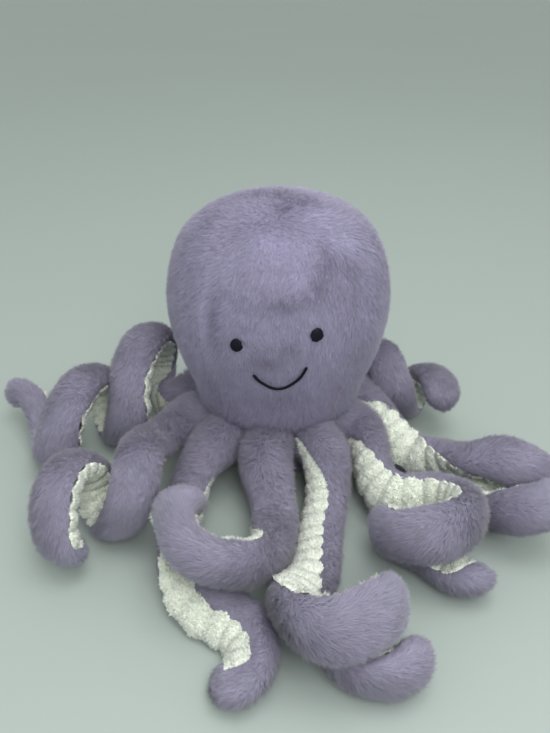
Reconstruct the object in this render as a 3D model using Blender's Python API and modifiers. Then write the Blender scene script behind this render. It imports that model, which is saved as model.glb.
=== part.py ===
"""Plush octopus: a stuffed head sewn from four gores over a weighted neck, and eight curling arms.

Units are metres, +Z is up, the face looks along -Y. The origin is the centre of the flat base
panel's underside. Each arm is a fur cover, a ribbed underside strip let into the cover's slot, and
a stuffing core; it lifts about the stitched root seam where it meets the neck.
"""

import math

import bmesh
import bpy
import numpy as np
from mathutils import Matrix, Vector

# Head
HEAD_WIDTH = 0.148
HEAD_HEIGHT = 0.142
HEAD_DEPTH_SHARE = 0.92
HEAD_WALL = 0.0025
HEAD_STEPS = 24
# Outline from the widest neck opening up to the crown: radius as a share of half the head's
# width, height as a share of the head's height.
HEAD_PROFILE_SHARES = (
    (0.58, 0.000), (0.70, 0.005), (0.76, 0.045), (0.82, 0.120), (0.90, 0.235), (0.97, 0.365),
    (1.00, 0.500), (0.985, 0.610), (0.93, 0.730), (0.84, 0.830), (0.70, 0.905), (0.50, 0.965),
    (0.25, 0.995), (0.00, 1.000),
)
GORE_NAMES = ("head_front_gore", "head_right_gore", "head_back_gore", "head_left_gore")
STUFFING_EASE = 0.0006

# Neck and base
NECK_RADIUS = 0.0312
NECK_WALL = 0.0025
NECK_HEIGHT = 0.0535
BASE_PANEL_THICKNESS = 0.0025
BEAN_BAG_HEIGHT = 0.024
BEAN_BAG_PROFILE_SHARES = (
    (0.00, 0.00), (0.90, 0.00), (1.00, 0.12), (1.00, 0.80), (0.85, 0.94), (0.45, 1.00), (0.00, 0.98),
)
NECK_STEPS = 24

# Clearances
SEAM_GAP = 0.0003
ROOT_GAP = 0.0004
SLOT_GAP = 0.0007
CORE_GAP = 0.0009
TABLE_GAP = 0.0004

# Face: azimuth from straight ahead in degrees, height as a share of the head's height
EYE_WIDTH = 0.0082
EYE_HEIGHT = 0.0092
EYE_THICKNESS = 0.0016
EYE_SEGMENTS = 12
EYE_RINGS = 8
FACE_GAP = 0.0004
EYE_LEFT = {"azimuth": -19.5, "height_share": 0.507}
EYE_RIGHT = {"azimuth": 17.2, "height_share": 0.556}
SMILE_THREAD_RADIUS = 0.0010
SMILE_LIFT = 0.0005
SMILE_POINTS = 13
# Azimuth in degrees and height share of the smile's stitches, left to right
SMILE_PATH_SHARES = (
    (-12.2, 0.370), (-10.0, 0.340), (-7.0, 0.316), (-3.8, 0.298), (-0.5, 0.292), (3.4, 0.300),
    (7.5, 0.327), (10.6, 0.360), (13.2, 0.408),
)

# Arms: sizes of the section, and how closely its rings stand
ARM_WIDTH = 0.028
ARM_WALL = 0.0025
ROOT_THICKNESS_SHARE = 0.86
ARM_THICKNESS_SHARE = 0.64
TIP_THICKNESS_SHARE = 0.56
ROOT_LENGTH_SHARE = 0.07
SLOT_HALF_ANGLE = 62.0
COVER_OUTER_POINTS = 6
COVER_INNER_POINTS = 4
RING_SPACING = 0.024
RING_TURN = 40.0
PATH_SAMPLES = 600
ROOT_ROUND_SHARES = (0.96, 0.62)
TIP_ROUND_LENGTH = 0.012
TIP_ROUND_SHARES = (1.00, 0.62, 0.30, 0.09)
# Place of a root's ball joint below the head, and the first straight stretch out of the neck
ROOT_BELOW_HEAD = 0.0165
ROOT_STRAIGHT = 0.017
ROOT_DROP = 0.004

# Each arm: bearing of its root from straight ahead, positive to +X, the way its ribbed side faces
# as it leaves the root, and its route. A row of the route is a place (x, y, z) as shares of the
# arm's width, the section's half width as a share of half the arm's width, and the direction that
# the ribbed side faces there.
ARMS = {
    "arm_left_back": {
        "bearing": -116.0,
        "exit_facing": (0.0, -0.2, -1.0),
        "route_shares": (
            (-2.64, 1.00, 0.93, 0.93, -0.4, -0.6, -0.6),
            (-3.32, 1.68, 0.64, 0.93, -0.6, -0.6, 0.3),
            (-3.50, 2.46, 1.25, 0.96, -0.3, -0.8, 0.5),
            (-3.43, 2.07, 2.21, 1.04, -0.1, -0.8, -0.6),
            (-3.60, 1.21, 2.57, 1.04, 0.2, 0.2, -1.0),
            (-3.84, 0.36, 2.04, 1.04, 0.4, 0.9, -0.3),
            (-3.89, -0.20, 1.21, 1.04, 0.2, 0.7, 0.7),
            (-4.18, 0.10, 0.50, 1.00, 0.1, -0.2, 1.0),
            (-4.64, 0.90, 0.78, 1.00, 0.0, -0.9, 0.4),
            (-4.86, 0.90, 1.60, 1.04, -0.1, -0.7, -0.7),
            (-5.11, -0.14, 1.96, 1.04, 0.2, 0.3, -0.9),
            (-5.36, -1.11, 1.54, 1.04, 0.3, 0.9, -0.2),
            (-5.54, -1.25, 0.82, 1.00, 0.2, 0.7, 0.7),
            (-5.96, -0.29, 0.43, 0.93, 0.2, 0.3, 0.9),
            (-6.43, 0.57, 0.71, 0.86, 0.5, 0.4, 0.7),
            (-6.96, 1.14, 0.93, 0.82, 0.6, 0.4, 0.3),
            (-7.57, 1.36, 0.82, 0.71, 0.5, 0.2, -0.3),
        ),
    },
    "arm_left": {
        "bearing": -80.0,
        "exit_facing": (0.0, 0.0, -1.0),
        "route_shares": (
            (-2.68, -0.95, 1.21, 0.93, -0.3, -0.3, -0.9),
            (-2.96, -1.90, 1.61, 0.93, -0.4, -0.3, -0.9),
            (-3.07, -2.93, 2.04, 0.93, 0.1, 0.0, -1.0),
            (-3.11, -3.61, 1.71, 0.93, -0.1, 0.9, -0.4),
            (-3.39, -3.64, 0.96, 0.93, -0.2, 0.9, 0.4),
            (-3.82, -3.18, 0.43, 0.93, -0.1, -0.1, 1.0),
            (-4.29, -2.54, 0.75, 0.93, 0.0, -0.9, 0.5),
            (-4.43, -2.68, 1.50, 0.93, 0.0, -0.7, -0.7),
            (-4.61, -3.46, 1.93, 0.93, 0.3, 0.3, -0.8),
            (-4.68, -4.18, 1.57, 0.93, 0.4, 0.8, -0.3),
            (-4.57, -4.43, 0.89, 0.93, 0.4, 0.7, 0.6),
            (-4.32, -4.11, 0.50, 0.79, 0.2, 0.3, 0.9),
        ),
    },
    "arm_front_left": {
        "bearing": -44.0,
        "exit_facing": (0.2, -0.1, -1.0),
        "route_shares": (
            (-2.04, -2.29, 0.79, 0.93, 0.3, -0.3, -0.9),
            (-2.18, -3.21, 0.50, 0.93, 0.6, -0.3, -0.7),
            (-2.18, -4.25, 0.50, 0.93, 0.9, -0.2, 0.3),
            (-1.86, -5.18, 0.46, 1.00, 0.5, -0.3, 0.8),
            (-1.32, -5.75, 0.43, 1.00, -0.1, -0.5, 0.9),
            (-0.75, -6.14, 0.43, 1.00, -0.5, -0.4, 0.8),
            (-0.50, -6.71, 0.43, 1.00, -0.6, -0.3, 0.8),
            (-0.71, -7.21, 0.43, 0.93, -0.6, -0.1, 0.8),
            (-1.14, -7.46, 0.39, 0.79, -0.4, 0.1, 0.9),
        ),
    },
    "arm_front": {
        "bearing": -8.0,
        "exit_facing": (0.0, 0.0, -1.0),
        "route_shares": (
            (-0.11, -3.14, 0.79, 0.86, -0.1, 0.0, -1.0),
            (-0.11, -4.14, 0.86, 0.86, -0.5, 0.2, -0.9),
            (-0.29, -5.14, 1.29, 0.86, -0.7, 0.7, -0.2),
            (-0.86, -5.79, 1.79, 0.93, -0.2, 1.0, 0.1),
            (-1.57, -5.68, 1.93, 0.93, 0.2, 1.0, -0.1),
            (-2.00, -4.96, 1.93, 0.93, 0.3, 0.9, -0.3),
            (-2.07, -4.14, 1.71, 0.93, 0.1, 0.4, -0.9),
            (-2.00, -3.61, 1.32, 0.79, 0.0, -0.3, -1.0),
        ),
    },
    "arm_front_right": {
        "bearing": 29.0,
        "exit_facing": (-0.8, -0.5, -0.2),
        "route_shares": (
            (1.11, -2.71, 0.71, 0.93, -0.7, -0.5, 0.4),
            (0.93, -3.64, 0.50, 0.93, -0.6, -0.4, 0.7),
            (0.71, -4.86, 0.54, 1.00, -0.4, -0.4, 0.8),
            (0.36, -5.93, 1.00, 1.00, 0.1, -0.5, 0.8),
            (0.32, -6.79, 1.50, 1.04, 0.8, 0.4, 0.2),
            (0.79, -7.21, 1.75, 1.04, 0.3, 0.9, -0.4),
            (1.29, -7.18, 1.82, 1.04, 0.0, 0.9, -0.5),
            (1.79, -6.75, 1.68, 1.04, -0.4, 0.8, -0.5),
            (1.96, -6.25, 1.18, 0.96, -0.9, -0.2, 0.0),
            (1.68, -6.00, 0.68, 0.89, -0.4, -0.8, 0.5),
            (1.29, -6.21, 0.43, 0.93, 0.1, -0.4, 0.9),
            (1.18, -6.71, 0.43, 0.93, 0.5, 0.4, 0.8),
            (1.50, -7.18, 0.54, 1.00, 0.3, 0.9, 0.4),
            (2.11, -7.25, 0.68, 1.00, -0.2, 1.0, 0.1),
            (2.61, -6.86, 0.82, 0.86, -0.6, 0.8, -0.2),
        ),
    },
    "arm_right_front": {
        "bearing": 66.0,
        "exit_facing": (-0.6, -0.7, -0.4),
        "route_shares": (
            (2.21, -1.54, 1.04, 0.93, -0.7, -0.7, 0.0),
            (2.32, -2.32, 0.86, 0.93, -0.4, -0.9, 0.2),
            (2.75, -2.93, 0.82, 1.04, 0.0, -0.9, 0.4),
            (3.43, -3.14, 1.00, 1.04, 0.0, -0.9, 0.4),
            (3.93, -3.79, 1.39, 1.00, -0.9, -0.4, 0.0),
            (3.64, -4.75, 1.82, 1.04, -0.5, 0.9, -0.3),
            (2.96, -5.07, 1.82, 1.04, 0.0, 0.9, -0.4),
            (2.43, -4.68, 1.43, 1.00, 0.6, 0.8, 0.0),
            (2.32, -4.07, 0.93, 0.93, 0.9, -0.2, 0.3),
            (2.61, -3.86, 0.46, 0.86, 0.4, -0.4, 0.8),
            (3.18, -4.25, 0.43, 0.89, 0.2, 0.0, 1.0),
            (3.71, -4.89, 0.50, 0.93, -0.1, 0.5, 0.8),
            (4.32, -5.04, 0.64, 0.86, -0.4, 0.8, 0.4),
        ),
    },
    "arm_right": {
        "bearing": 103.0,
        "exit_facing": (-0.2, -0.8, -0.4),
        "route_shares": (
            (2.84, -0.43, 0.86, 0.93, 0.0, -0.8, 0.5),
            (3.46, -1.11, 0.64, 0.93, -0.1, -0.8, 0.5),
            (4.11, -1.64, 0.86, 1.00, -0.4, -0.8, -0.2),
            (4.61, -2.11, 1.32, 1.00, 0.0, -0.1, -1.0),
            (5.14, -2.54, 1.61, 1.00, 0.2, 0.5, -0.8),
            (5.75, -2.79, 1.43, 1.00, -0.3, 0.9, -0.2),
            (6.07, -2.39, 0.89, 0.93, -0.7, 0.1, 0.7),
            (5.79, -1.93, 0.46, 0.79, -0.3, -0.3, 0.9),
            (5.18, -2.04, 0.43, 0.79, 0.2, -0.4, 0.9),
            (4.75, -2.64, 0.46, 0.86, 0.5, 0.1, 0.8),
            (4.71, -3.32, 0.75, 0.93, 0.5, 0.5, 0.6),
            (5.07, -3.79, 1.21, 0.93, 0.2, 0.8, -0.4),
            (5.61, -3.93, 1.50, 0.89, 0.0, 0.8, -0.6),
            (6.25, -3.68, 1.50, 0.79, -0.3, 0.5, -0.8),
        ),
    },
    "arm_right_back": {
        "bearing": 143.0,
        "exit_facing": (0.7, -0.5, 0.5),
        "route_shares": (
            (2.07, 2.18, 0.75, 0.93, 0.0, -0.6, 0.8),
            (2.54, 2.50, 1.07, 0.93, 0.0, -1.0, 0.1),
            (2.64, 2.00, 1.79, 0.93, 0.0, -0.5, -0.9),
            (2.82, 1.11, 2.11, 0.93, -0.1, 0.7, -0.7),
            (3.02, 0.77, 1.66, 0.93, -0.2, 1.0, 0.0),
            (3.33, 1.00, 0.91, 0.93, 0.2, 0.3, 0.9),
            (3.64, 1.57, 0.46, 0.93, 0.1, -0.5, 0.9),
            (3.99, 1.78, 0.86, 0.93, -0.1, -1.0, 0.1),
            (4.18, 1.36, 1.39, 0.93, -0.2, -0.4, -0.9),
            (4.36, 0.75, 1.50, 0.93, -0.4, 0.6, -0.7),
            (4.43, 0.32, 1.07, 0.79, -0.4, 0.8, 0.3),
        ),
    },
}

LILAC_FUR = ("lilac_fur", (0.275, 0.230, 0.350, 1.0), 0.92)
CREAM_CHENILLE = ("cream_chenille", (0.680, 0.700, 0.600, 1.0), 0.90)
WHITE_FIBRE = ("white_fibre", (0.800, 0.800, 0.780, 1.0), 0.95)
BEAN_CLOTH = ("bean_cloth", (0.620, 0.600, 0.560, 1.0), 0.85)
DARK_THREAD = ("dark_thread", (0.018, 0.018, 0.032, 1.0), 0.55)


def clear_scene():
    for old in list(bpy.data.objects):
        bpy.data.objects.remove(old, do_unlink=True)


def make_collection(name):
    collection = bpy.data.collections.new(name)
    bpy.context.scene.collection.children.link(collection)
    return collection


def make_material(spec):
    name, colour, roughness = spec
    material = bpy.data.materials.get(name)
    if material is None:
        material = bpy.data.materials.new(name)
        material.use_nodes = True
        shader = material.node_tree.nodes["Principled BSDF"]
        shader.inputs["Base Color"].default_value = colour
        shader.inputs["Roughness"].default_value = roughness
        shader.inputs["Metallic"].default_value = 0.0
    return material


def add_object(name, bm, spec, collection):
    mesh = bpy.data.meshes.new(name)
    bm.to_mesh(mesh)
    bm.free()
    mesh.shade_smooth()
    obj = bpy.data.objects.new(name, mesh)
    obj.data.materials.append(make_material(spec))
    collection.objects.link(obj)
    return obj


def turned(profile, steps):
    """A bmesh turned about +Z from (radius, height) pairs, welded at the poles and the seam."""
    bm = bmesh.new()
    verts = [bm.verts.new((radius, 0.0, height)) for radius, height in profile]
    edges = [bm.edges.new(pair) for pair in zip(verts, verts[1:])]
    bmesh.ops.spin(
        bm, geom=verts + edges, cent=(0.0, 0.0, 0.0), axis=(0.0, 0.0, 1.0), dvec=(0.0, 0.0, 0.0),
        angle=math.tau, steps=steps, use_merge=True, use_duplicate=False,
    )
    bmesh.ops.remove_doubles(bm, verts=bm.verts, dist=SEAM_GAP / 10.0)
    bmesh.ops.recalc_face_normals(bm, faces=bm.faces)
    return bm


def inset_profile(profile, distance):
    """The profile moved inwards by a distance, each corner along its mitre."""
    points = np.array(profile)
    along = np.diff(points, axis=0)
    along /= np.linalg.norm(along, axis=1)[:, None]
    inward = np.stack([-along[:, 1], along[:, 0]], axis=1)
    corner = np.vstack([inward[:1], inward[:-1] + inward[1:], inward[-1:]])
    corner /= np.linalg.norm(corner, axis=1)[:, None]
    mitre = np.concatenate([[1.0], (corner[1:-1] * inward[1:]).sum(axis=1), [1.0]])
    moved = points + corner * (distance / mitre)[:, None]
    moved[-1] = (0.0, points[-1, 1] - distance)
    return [tuple(row) for row in moved]


def head_profile():
    underside = NECK_HEIGHT + SEAM_GAP
    half_width = HEAD_WIDTH / 2.0
    profile = [(NECK_RADIUS - NECK_WALL, underside)]
    for radius_share, height_share in HEAD_PROFILE_SHARES:
        profile.append((radius_share * half_width, underside + height_share * HEAD_HEIGHT))
    return profile


def flatten_depth(bm):
    bmesh.ops.scale(bm, vec=(1.0, HEAD_DEPTH_SHARE, 1.0), verts=bm.verts)


def make_gore_cutter(name, turn, cutters):
    """A block whose inner corner stands on the head's axis, so it holds one quarter of the head."""
    size = HEAD_WIDTH + HEAD_HEIGHT
    bm = bmesh.new()
    bmesh.ops.create_cube(bm, size=size)
    centre = (size + SEAM_GAP) / 2.0
    bmesh.ops.translate(bm, vec=(centre, centre, NECK_HEIGHT + size / 2.0 - HEAD_WALL), verts=bm.verts)
    cutter = add_object(name, bm, WHITE_FIBRE, cutters)
    cutter.rotation_euler = (0.0, 0.0, turn)
    cutter.hide_render = True
    cutter.display_type = "WIRE"
    return cutter


def make_head_gores(parts, cutters):
    """Four fur gores: one shell turned from the head's outline, each keeping its own quarter."""
    quarter = math.pi / 2.0
    for index, name in enumerate(GORE_NAMES):
        bm = turned(head_profile(), HEAD_STEPS)
        flatten_depth(bm)
        gore = add_object(name, bm, LILAC_FUR, parts)
        shell = gore.modifiers.new("shell", "SOLIDIFY")
        shell.thickness = HEAD_WALL
        shell.offset = -1.0
        shell.use_even_offset = True
        cutter = make_gore_cutter(name + "_cutter", (index - 1.5) * quarter, cutters)
        keep = gore.modifiers.new("keep_quarter", "BOOLEAN")
        keep.operation = "INTERSECT"
        keep.solver = "EXACT"
        keep.object = cutter


def make_head_stuffing(parts):
    """Fibre filling: the head's inside, with a plug that fills the neck down to the bean bag."""
    inner = inset_profile(head_profile(), HEAD_WALL + STUFFING_EASE)
    plug_radius = NECK_RADIUS - NECK_WALL - STUFFING_EASE
    plug_bottom = BASE_PANEL_THICKNESS + BEAN_BAG_HEIGHT + 2.0 * SEAM_GAP
    plug_top = inner[1][1]
    profile = [(0.0, plug_bottom), (plug_radius, plug_bottom), (plug_radius, plug_top)]
    bm = turned(profile + inner[1:], HEAD_STEPS)
    flatten_depth(bm)
    add_object("head_stuffing", bm, WHITE_FIBRE, parts)


def make_neck(parts):
    """Fur tube round the neck. The arms' roots are sewn round it."""
    bottom = BASE_PANEL_THICKNESS + SEAM_GAP
    inner_radius = NECK_RADIUS - NECK_WALL
    loop = [
        (NECK_RADIUS, bottom), (NECK_RADIUS, NECK_HEIGHT), (inner_radius, NECK_HEIGHT),
        (inner_radius, bottom), (NECK_RADIUS, bottom),
    ]
    bm = turned(loop, NECK_STEPS)
    add_object("neck_tube", bm, LILAC_FUR, parts)


def make_base_panel(parts):
    bm = bmesh.new()
    bmesh.ops.create_cone(
        bm, cap_ends=True, segments=NECK_STEPS, radius1=NECK_RADIUS, radius2=NECK_RADIUS,
        depth=BASE_PANEL_THICKNESS,
    )
    bmesh.ops.translate(bm, vec=(0.0, 0.0, BASE_PANEL_THICKNESS / 2.0), verts=bm.verts)
    add_object("base_panel", bm, LILAC_FUR, parts)


def make_bean_bag(parts):
    """Cloth pouch of plastic beads that weights the base."""
    radius = NECK_RADIUS - NECK_WALL - STUFFING_EASE
    bottom = BASE_PANEL_THICKNESS + SEAM_GAP
    profile = []
    for radius_share, height_share in BEAN_BAG_PROFILE_SHARES:
        profile.append((radius_share * radius, bottom + height_share * BEAN_BAG_HEIGHT))
    bm = turned(profile, NECK_STEPS)
    add_object("bean_bag", bm, BEAN_CLOTH, parts)


def head_surface(azimuth, height_share):
    """Point and outward normal on the head's outer face."""
    profile = np.array(HEAD_PROFILE_SHARES)
    half_width = HEAD_WIDTH / 2.0
    radius = np.interp(height_share, profile[:, 1], profile[:, 0]) * half_width
    step = 1.0 / HEAD_STEPS
    above = np.interp(height_share + step, profile[:, 1], profile[:, 0]) * half_width
    below = np.interp(height_share - step, profile[:, 1], profile[:, 0]) * half_width
    slope = (above - below) / (2.0 * step * HEAD_HEIGHT)
    angle = math.radians(azimuth)
    point = Vector((
        radius * math.sin(angle), -radius * math.cos(angle) * HEAD_DEPTH_SHARE,
        NECK_HEIGHT + SEAM_GAP + height_share * HEAD_HEIGHT,
    ))
    normal = Vector((math.sin(angle), -math.cos(angle) / HEAD_DEPTH_SHARE, -slope)).normalized()
    return point, normal


def make_eye(name, place, parts):
    """A padded oval of satin stitch: a sphere flattened on the head's surface."""
    bm = bmesh.new()
    bmesh.ops.create_uvsphere(bm, u_segments=EYE_SEGMENTS, v_segments=EYE_RINGS, radius=0.5)
    bmesh.ops.scale(bm, vec=(EYE_WIDTH, EYE_HEIGHT, EYE_THICKNESS), verts=bm.verts)
    eye = add_object(name, bm, DARK_THREAD, parts)
    point, normal = head_surface(place["azimuth"], place["height_share"])
    eye.location = point + normal * (EYE_THICKNESS / 2.0 + FACE_GAP)
    eye.rotation_euler = normal.to_track_quat("Z", "Y").to_euler()


def make_smile(parts):
    """One line of dark satin stitch, a bevelled curve that follows the head."""
    path = np.array(SMILE_PATH_SHARES)
    rows = spline(path, SMILE_POINTS)
    curve = bpy.data.curves.new("smile", "CURVE")
    curve.dimensions = "3D"
    curve.bevel_depth = SMILE_THREAD_RADIUS
    curve.bevel_resolution = 1
    curve.use_fill_caps = True
    line = curve.splines.new("POLY")
    line.points.add(len(rows) - 1)
    for stitch, (azimuth, height_share) in zip(line.points, rows):
        point, normal = head_surface(azimuth, height_share)
        place = point + normal * (SMILE_THREAD_RADIUS + SMILE_LIFT)
        stitch.co = (*place, 1.0)
    smile = bpy.data.objects.new("smile", curve)
    smile.data.materials.append(make_material(DARK_THREAD))
    parts.objects.link(smile)


def spline(rows, samples):
    """Natural cubic spline through rows, whose knots stand by the root of each chord's length."""
    rows = np.asarray(rows, dtype=float)
    chords = np.linalg.norm(np.diff(rows[:, :3], axis=0), axis=1)
    spans = np.sqrt(chords)
    knots = np.concatenate([[0.0], np.cumsum(spans)])
    count = len(rows)
    system = np.eye(count)
    right = np.zeros(rows.shape)
    for i in range(1, count - 1):
        system[i, i - 1:i + 2] = spans[i - 1], 2.0 * (spans[i - 1] + spans[i]), spans[i]
        right[i] = 6.0 * ((rows[i + 1] - rows[i]) / spans[i] - (rows[i] - rows[i - 1]) / spans[i - 1])
    bends = np.linalg.solve(system, right)
    result = []
    for knot in np.linspace(0.0, knots[-1], samples):
        i = min(int(np.searchsorted(knots, knot, side="right")) - 1, count - 2)
        a = (knots[i + 1] - knot) / spans[i]
        b = 1.0 - a
        cubic = ((a ** 3 - a) * bends[i] + (b ** 3 - b) * bends[i + 1]) * spans[i] ** 2 / 6.0
        result.append(a * rows[i] + b * rows[i + 1] + cubic)
    return np.array(result)


def root_radius():
    return ARM_WIDTH * ROOT_THICKNESS_SHARE / 2.0


def root_place(bearing):
    """Centre of an arm's round root, and the level direction in which it leaves the neck."""
    angle = math.radians(bearing)
    outward = Vector((math.sin(angle), -math.cos(angle), 0.0))
    reach = NECK_RADIUS + ROOT_GAP + root_radius()
    centre = outward * reach
    centre.z = NECK_HEIGHT - ROOT_BELOW_HEAD
    return centre, outward


def arm_rows(arm):
    """Root, straight exit and route as rows of place, half width and facing, in metres."""
    centre, outward = root_place(arm["bearing"])
    leave = centre + outward * ROOT_STRAIGHT - Vector((0.0, 0.0, ROOT_DROP))
    half_width = ARM_WIDTH / 2.0
    rows = [
        (*centre, root_radius(), *arm["exit_facing"]),
        (*leave, half_width * ROOT_THICKNESS_SHARE, *arm["exit_facing"]),
    ]
    for x, y, z, width_share, *facing in arm["route_shares"]:
        length = math.sqrt(sum(value * value for value in facing))
        unit = [value / length for value in facing]
        rows.append((x * ARM_WIDTH, y * ARM_WIDTH, z * ARM_WIDTH, width_share * half_width, *unit))
    return rows


def unit_rows(vectors):
    return vectors / np.linalg.norm(vectors, axis=1)[:, None]


def arm_frames(arm):
    """Sections along an arm: centre, width direction, facing, half width and half thickness."""
    fine = spline(arm_rows(arm), PATH_SAMPLES)
    steps = np.linalg.norm(np.diff(fine[:, :3], axis=0), axis=1)
    distance = np.concatenate([[0.0], np.cumsum(steps)])
    total = distance[-1]
    tangent = unit_rows(np.gradient(fine[:, :3], distance, axis=0))
    side = fine[:, 4:7]
    side = unit_rows(side - (side * tangent).sum(axis=1)[:, None] * tangent)
    bend = np.linalg.norm(np.diff(tangent, axis=0), axis=1)
    twist = np.linalg.norm(np.diff(side, axis=0), axis=1)
    turn = np.maximum(bend, twist)
    need = np.concatenate([[0.0], np.cumsum(steps / RING_SPACING + turn / math.radians(RING_TURN))])
    body_end = total - TIP_ROUND_LENGTH
    last_need = np.interp(body_end, distance, need)
    count = int(round(last_need))
    stations = np.interp(np.linspace(0.0, last_need, count + 1), need, distance)[:-1]
    tips = total - TIP_ROUND_LENGTH * np.array(TIP_ROUND_SHARES)
    stations = np.concatenate([stations, tips])
    rows = np.stack([np.interp(stations, distance, fine[:, k]) for k in range(fine.shape[1])], axis=1)
    along = unit_rows(np.stack([np.interp(stations, distance, tangent[:, k]) for k in range(3)], axis=1))
    facing = rows[:, 4:7]
    facing = unit_rows(facing - (facing * along).sum(axis=1)[:, None] * along)
    across = np.cross(along, facing)
    share = stations / total
    thickness_share = np.interp(
        share, (0.0, ROOT_LENGTH_SHARE, 2.0 * ROOT_LENGTH_SHARE, 1.0),
        (ROOT_THICKNESS_SHARE, ROOT_THICKNESS_SHARE, ARM_THICKNESS_SHARE, TIP_THICKNESS_SHARE),
    )
    half_width = rows[:, 3]
    half_thickness = thickness_share * ARM_WIDTH / 2.0
    rest = np.clip((total - stations) / TIP_ROUND_LENGTH, 0.0, 1.0)
    rounding = np.sqrt(1.0 - (1.0 - rest) ** 2)
    centre = rows[:, :3]
    centre[:, 2] += clear_of_table(centre[:, 2], across, facing, half_width, half_thickness)
    frames = list(zip(centre, across, facing, half_width * rounding, half_thickness * rounding))
    return root_rounding(frames[0], along[0]) + frames


def clear_of_table(height, across, facing, half_width, half_thickness):
    """How far each section rises so that its lowest point stays off the table."""
    reach = np.hypot(across[:, 2] * half_width, facing[:, 2] * half_thickness)
    return np.maximum(0.0, reach + TABLE_GAP - height)


def root_rounding(first, along):
    """Smaller sections behind the first one, so that the root ends in half a ball."""
    centre, across, facing, half_width, half_thickness = first
    frames = []
    for back_share in ROOT_ROUND_SHARES:
        narrow = math.sqrt(1.0 - back_share ** 2)
        place = centre - along * half_thickness * back_share
        frames.append((place, across, facing, half_width * narrow, half_thickness * narrow))
    return frames


def section_point(frame, angle, wall, side_gap):
    """Point of a section at an angle from its facing, inside the oval by a wall."""
    centre, across, facing, half_width, half_thickness = frame
    inner = min(1.0, half_thickness * 2.0 / (ARM_WIDTH * ARM_THICKNESS_SHARE)) * wall
    sideways = math.sin(math.radians(angle)) * (half_width - inner)
    sideways -= math.copysign(min(side_gap, abs(sideways)), sideways)
    return centre + across * sideways + facing * (math.cos(math.radians(angle)) * (half_thickness - inner))


def slot_angles(count):
    return np.linspace(SLOT_HALF_ANGLE, 360.0 - SLOT_HALF_ANGLE, count)


def cover_outline():
    """The fur cover as (angle, wall) points: most of an oval, open where the strip is let in."""
    outer = [(angle, 0.0) for angle in slot_angles(COVER_OUTER_POINTS)]
    inner = [(angle, ARM_WALL) for angle in slot_angles(COVER_INNER_POINTS)[::-1]]
    return outer + inner


def strip_outline():
    """The ribbed strip: a plump lens that fills the cover's slot."""
    left, right = 360.0 - SLOT_HALF_ANGLE, SLOT_HALF_ANGLE
    return [(left, 0.0), (0.0, 0.0), (right, 0.0), (right, ARM_WALL), (left, ARM_WALL)]


def core_outline():
    """The stuffing: the hollow of the cover, eased by a gap."""
    return [(angle, ARM_WALL + CORE_GAP) for angle in slot_angles(COVER_INNER_POINTS)]


def loft(frames, outline, side_gap):
    """A closed body through the outline at every frame, with a flat cap at each end.

    Each four-sided patch is split from its outer point, or from the point at the smaller angle, so
    that pieces that face each other across a gap are split alike and stay apart where they twist.
    """
    bm = bmesh.new()
    rings = []
    for frame in frames:
        rings.append([bm.verts.new(section_point(frame, *point, side_gap)) for point in outline])
    order = [(wall > 0.0, angle) for angle, wall in outline]
    count = len(outline)
    for low, high in zip(rings, rings[1:]):
        for i in range(count):
            j = (i + 1) % count
            if order[i] < order[j]:
                bm.faces.new((low[i], low[j], high[j]))
                bm.faces.new((low[i], high[j], high[i]))
            else:
                bm.faces.new((low[i], low[j], high[i]))
                bm.faces.new((low[j], high[j], high[i]))
    bm.faces.new(rings[0][::-1])
    bm.faces.new(rings[-1])
    return bm


def make_arm(name, arm, parts):
    """Cover, strip and stuffing of one arm, carried by an empty on its root seam's hinge line."""
    centre, outward = root_place(arm["bearing"])
    hinge = bpy.data.objects.new(name + "_root", None)
    hinge.empty_display_size = root_radius()
    hinge.location = centre
    parts.objects.link(hinge)
    frames = arm_frames(arm)
    pieces = (
        ("_cover", frames, cover_outline(), 0.0, LILAC_FUR),
        ("_underside", frames, strip_outline(), SLOT_GAP, CREAM_CHENILLE),
        ("_stuffing", frames[1:-1], core_outline(), 0.0, WHITE_FIBRE),
    )
    for ending, used, outline, side_gap, spec in pieces:
        bm = loft(used, outline, side_gap)
        bmesh.ops.transform(bm, matrix=Matrix.Translation(-centre), verts=bm.verts)
        piece = add_object(name + ending, bm, spec, parts)
        piece.parent = hinge


def build():
    clear_scene()
    parts = make_collection("plush_octopus")
    cutters = make_collection("cutters")
    make_head_gores(parts, cutters)
    make_head_stuffing(parts)
    make_neck(parts)
    make_base_panel(parts)
    make_bean_bag(parts)
    make_eye("left_eye", EYE_LEFT, parts)
    make_eye("right_eye", EYE_RIGHT, parts)
    make_smile(parts)
    for name, arm in ARMS.items():
        make_arm(name, arm, parts)


build()
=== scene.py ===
"""Looks of the plush octopus: its fur, its ribbed chenille, its stitched face and a plain stage.

The script is laid out as an add-on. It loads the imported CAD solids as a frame, hides them, and
grows the fabric that stands in their place. Units are metres, +Z is up, the face looks along -Y.
"""

import math
from copy import copy

import bpy
import numpy as np
from bpy.props import FloatProperty, FloatVectorProperty, PointerProperty
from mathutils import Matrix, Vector
from mathutils.kdtree import KDTree


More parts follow.
